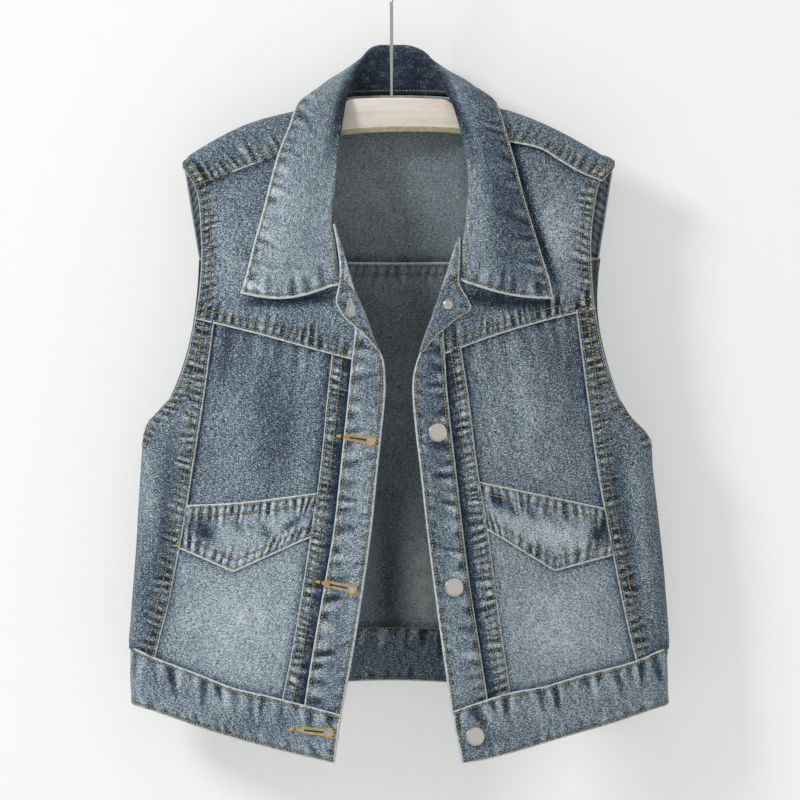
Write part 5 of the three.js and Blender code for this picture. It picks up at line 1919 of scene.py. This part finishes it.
class Studio:
    """A pale wall and floor, soft light from the upper left and a long lens straight ahead."""

    def build(self) -> None:
        """Makes the stage, the lights and the camera."""
        wall = self.make_wall()
        floor = self.plane("floor", (0, 0, -1.35), (8, 8), (0, 0, 0), self.paint("floor_paint", (236, 236, 234)))
        self.light("key", (-2.7, -2.2, 1.5), 0.9, 92.0)
        self.light("fill", (1.2, -3.4, -0.4), 3.0, 12.0)
        world = bpy.data.worlds.new("soft")
        world.use_nodes = True
        ground = world.node_tree.nodes["Background"]
        ground.inputs["Color"].default_value = (1.0, 1.0, 1.0, 1.0)
        ground.inputs["Strength"].default_value = 0.46
        bpy.context.scene.world = world
        self.camera()
        bpy.context.scene.view_settings.view_transform = "Standard"

    def paint(self, name: str, colour: tuple[int, int, int], one_sided: bool = False) -> bpy.types.Material:
        """Matt paint, which can be clear from behind and a little lit from within, as a lit backdrop is."""
        material = bpy.data.materials.new(name)
        material.use_nodes = True
        material.node_tree.nodes.clear()
        g = Graph(material.node_tree)
        node = g.add("ShaderNodeBsdfPrincipled", {"Base Color": tint(*colour), "Roughness": 0.95})
        shader = node.outputs[0]
        if one_sided:
            node.inputs["Emission Color"].default_value = (1.0, 1.0, 1.0, 1.0)
            node.inputs["Emission Strength"].default_value = 0.35
            behind = g.add("ShaderNodeNewGeometry").outputs["Backfacing"]
            clear = g.add("ShaderNodeBsdfTransparent").outputs[0]
            shader = g.add("ShaderNodeMixShader", {0: behind, 1: shader, 2: clear}).outputs[0]
        g.add("ShaderNodeOutputMaterial", {"Surface": shader})
        return material

    def plane(self, name: str, place, size, turn, material) -> bpy.types.Object:
        """A flat rectangle."""
        mesh = bpy.data.meshes.new(name)
        w, h = size[0] / 2, size[1] / 2
        mesh.from_pydata([(-w, -h, 0), (w, -h, 0), (w, h, 0), (-w, h, 0)], [], [(0, 1, 2, 3)])
        mesh.materials.append(material)
        obj = place_object(name, mesh)
        obj.location, obj.rotation_euler = place, turn
        return obj

    def make_wall(self) -> bpy.types.Object:
        """The wall behind the vest, clear from its back."""
        paint = self.paint("wall_paint", (202, 202, 200), one_sided=True)
        return self.plane("wall", (0, 0.058, 0), (9, 6), (math.pi / 2, 0, 0), paint)

    def light(self, name: str, place, size: float, power: float) -> None:
        """A square lamp that faces the vest."""
        lamp = bpy.data.lights.new(name, "AREA")
        lamp.size, lamp.energy = size, power
        obj = place_object(name, lamp)
        obj.location = place
        obj.rotation_euler = (Vector(LAMPS_FACE) - Vector(place)).to_track_quat("-Z", "Y").to_euler()

    def camera(self) -> None:
        """The camera, far off and level with the middle of the vest."""
        lens = bpy.data.cameras.new("camera")
        lens.lens, lens.sensor_width, lens.clip_end = 500.0, 36.0, 60.0
        obj = place_object("camera", lens)
        obj.location = CAMERA_AT
        obj.rotation_euler = (math.pi / 2, 0, 0)
        bpy.context.scene.camera = obj


def main() -> None:
    """Builds the vest, its hanger and the studio."""
    logging.basicConfig(level=logging.INFO, format="%(name)s: %(message)s")
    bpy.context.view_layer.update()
    palette = Palette()
    room = Workroom(palette)
    right = Front(RIGHT_OUTER, RIGHT_SEAMS, RIGHT_NECK, RIGHT_EDGE, RIGHT_ACROSS)
    left = Front(LEFT_OUTER, LEFT_SEAMS, LEFT_NECK, LEFT_EDGE, LEFT_ACROSS)
    FrontHalf(right, RIGHT_LAPEL, room).build()
    FrontHalf(left, LEFT_LAPEL, room).build()
    BackHalf(Back(), right, left, room).build()
    Collar(room).build()
    Buttons(left, palette).build()
    Hanger(palette).build()
    Studio().build()


if __name__ == "__main__":
    main()
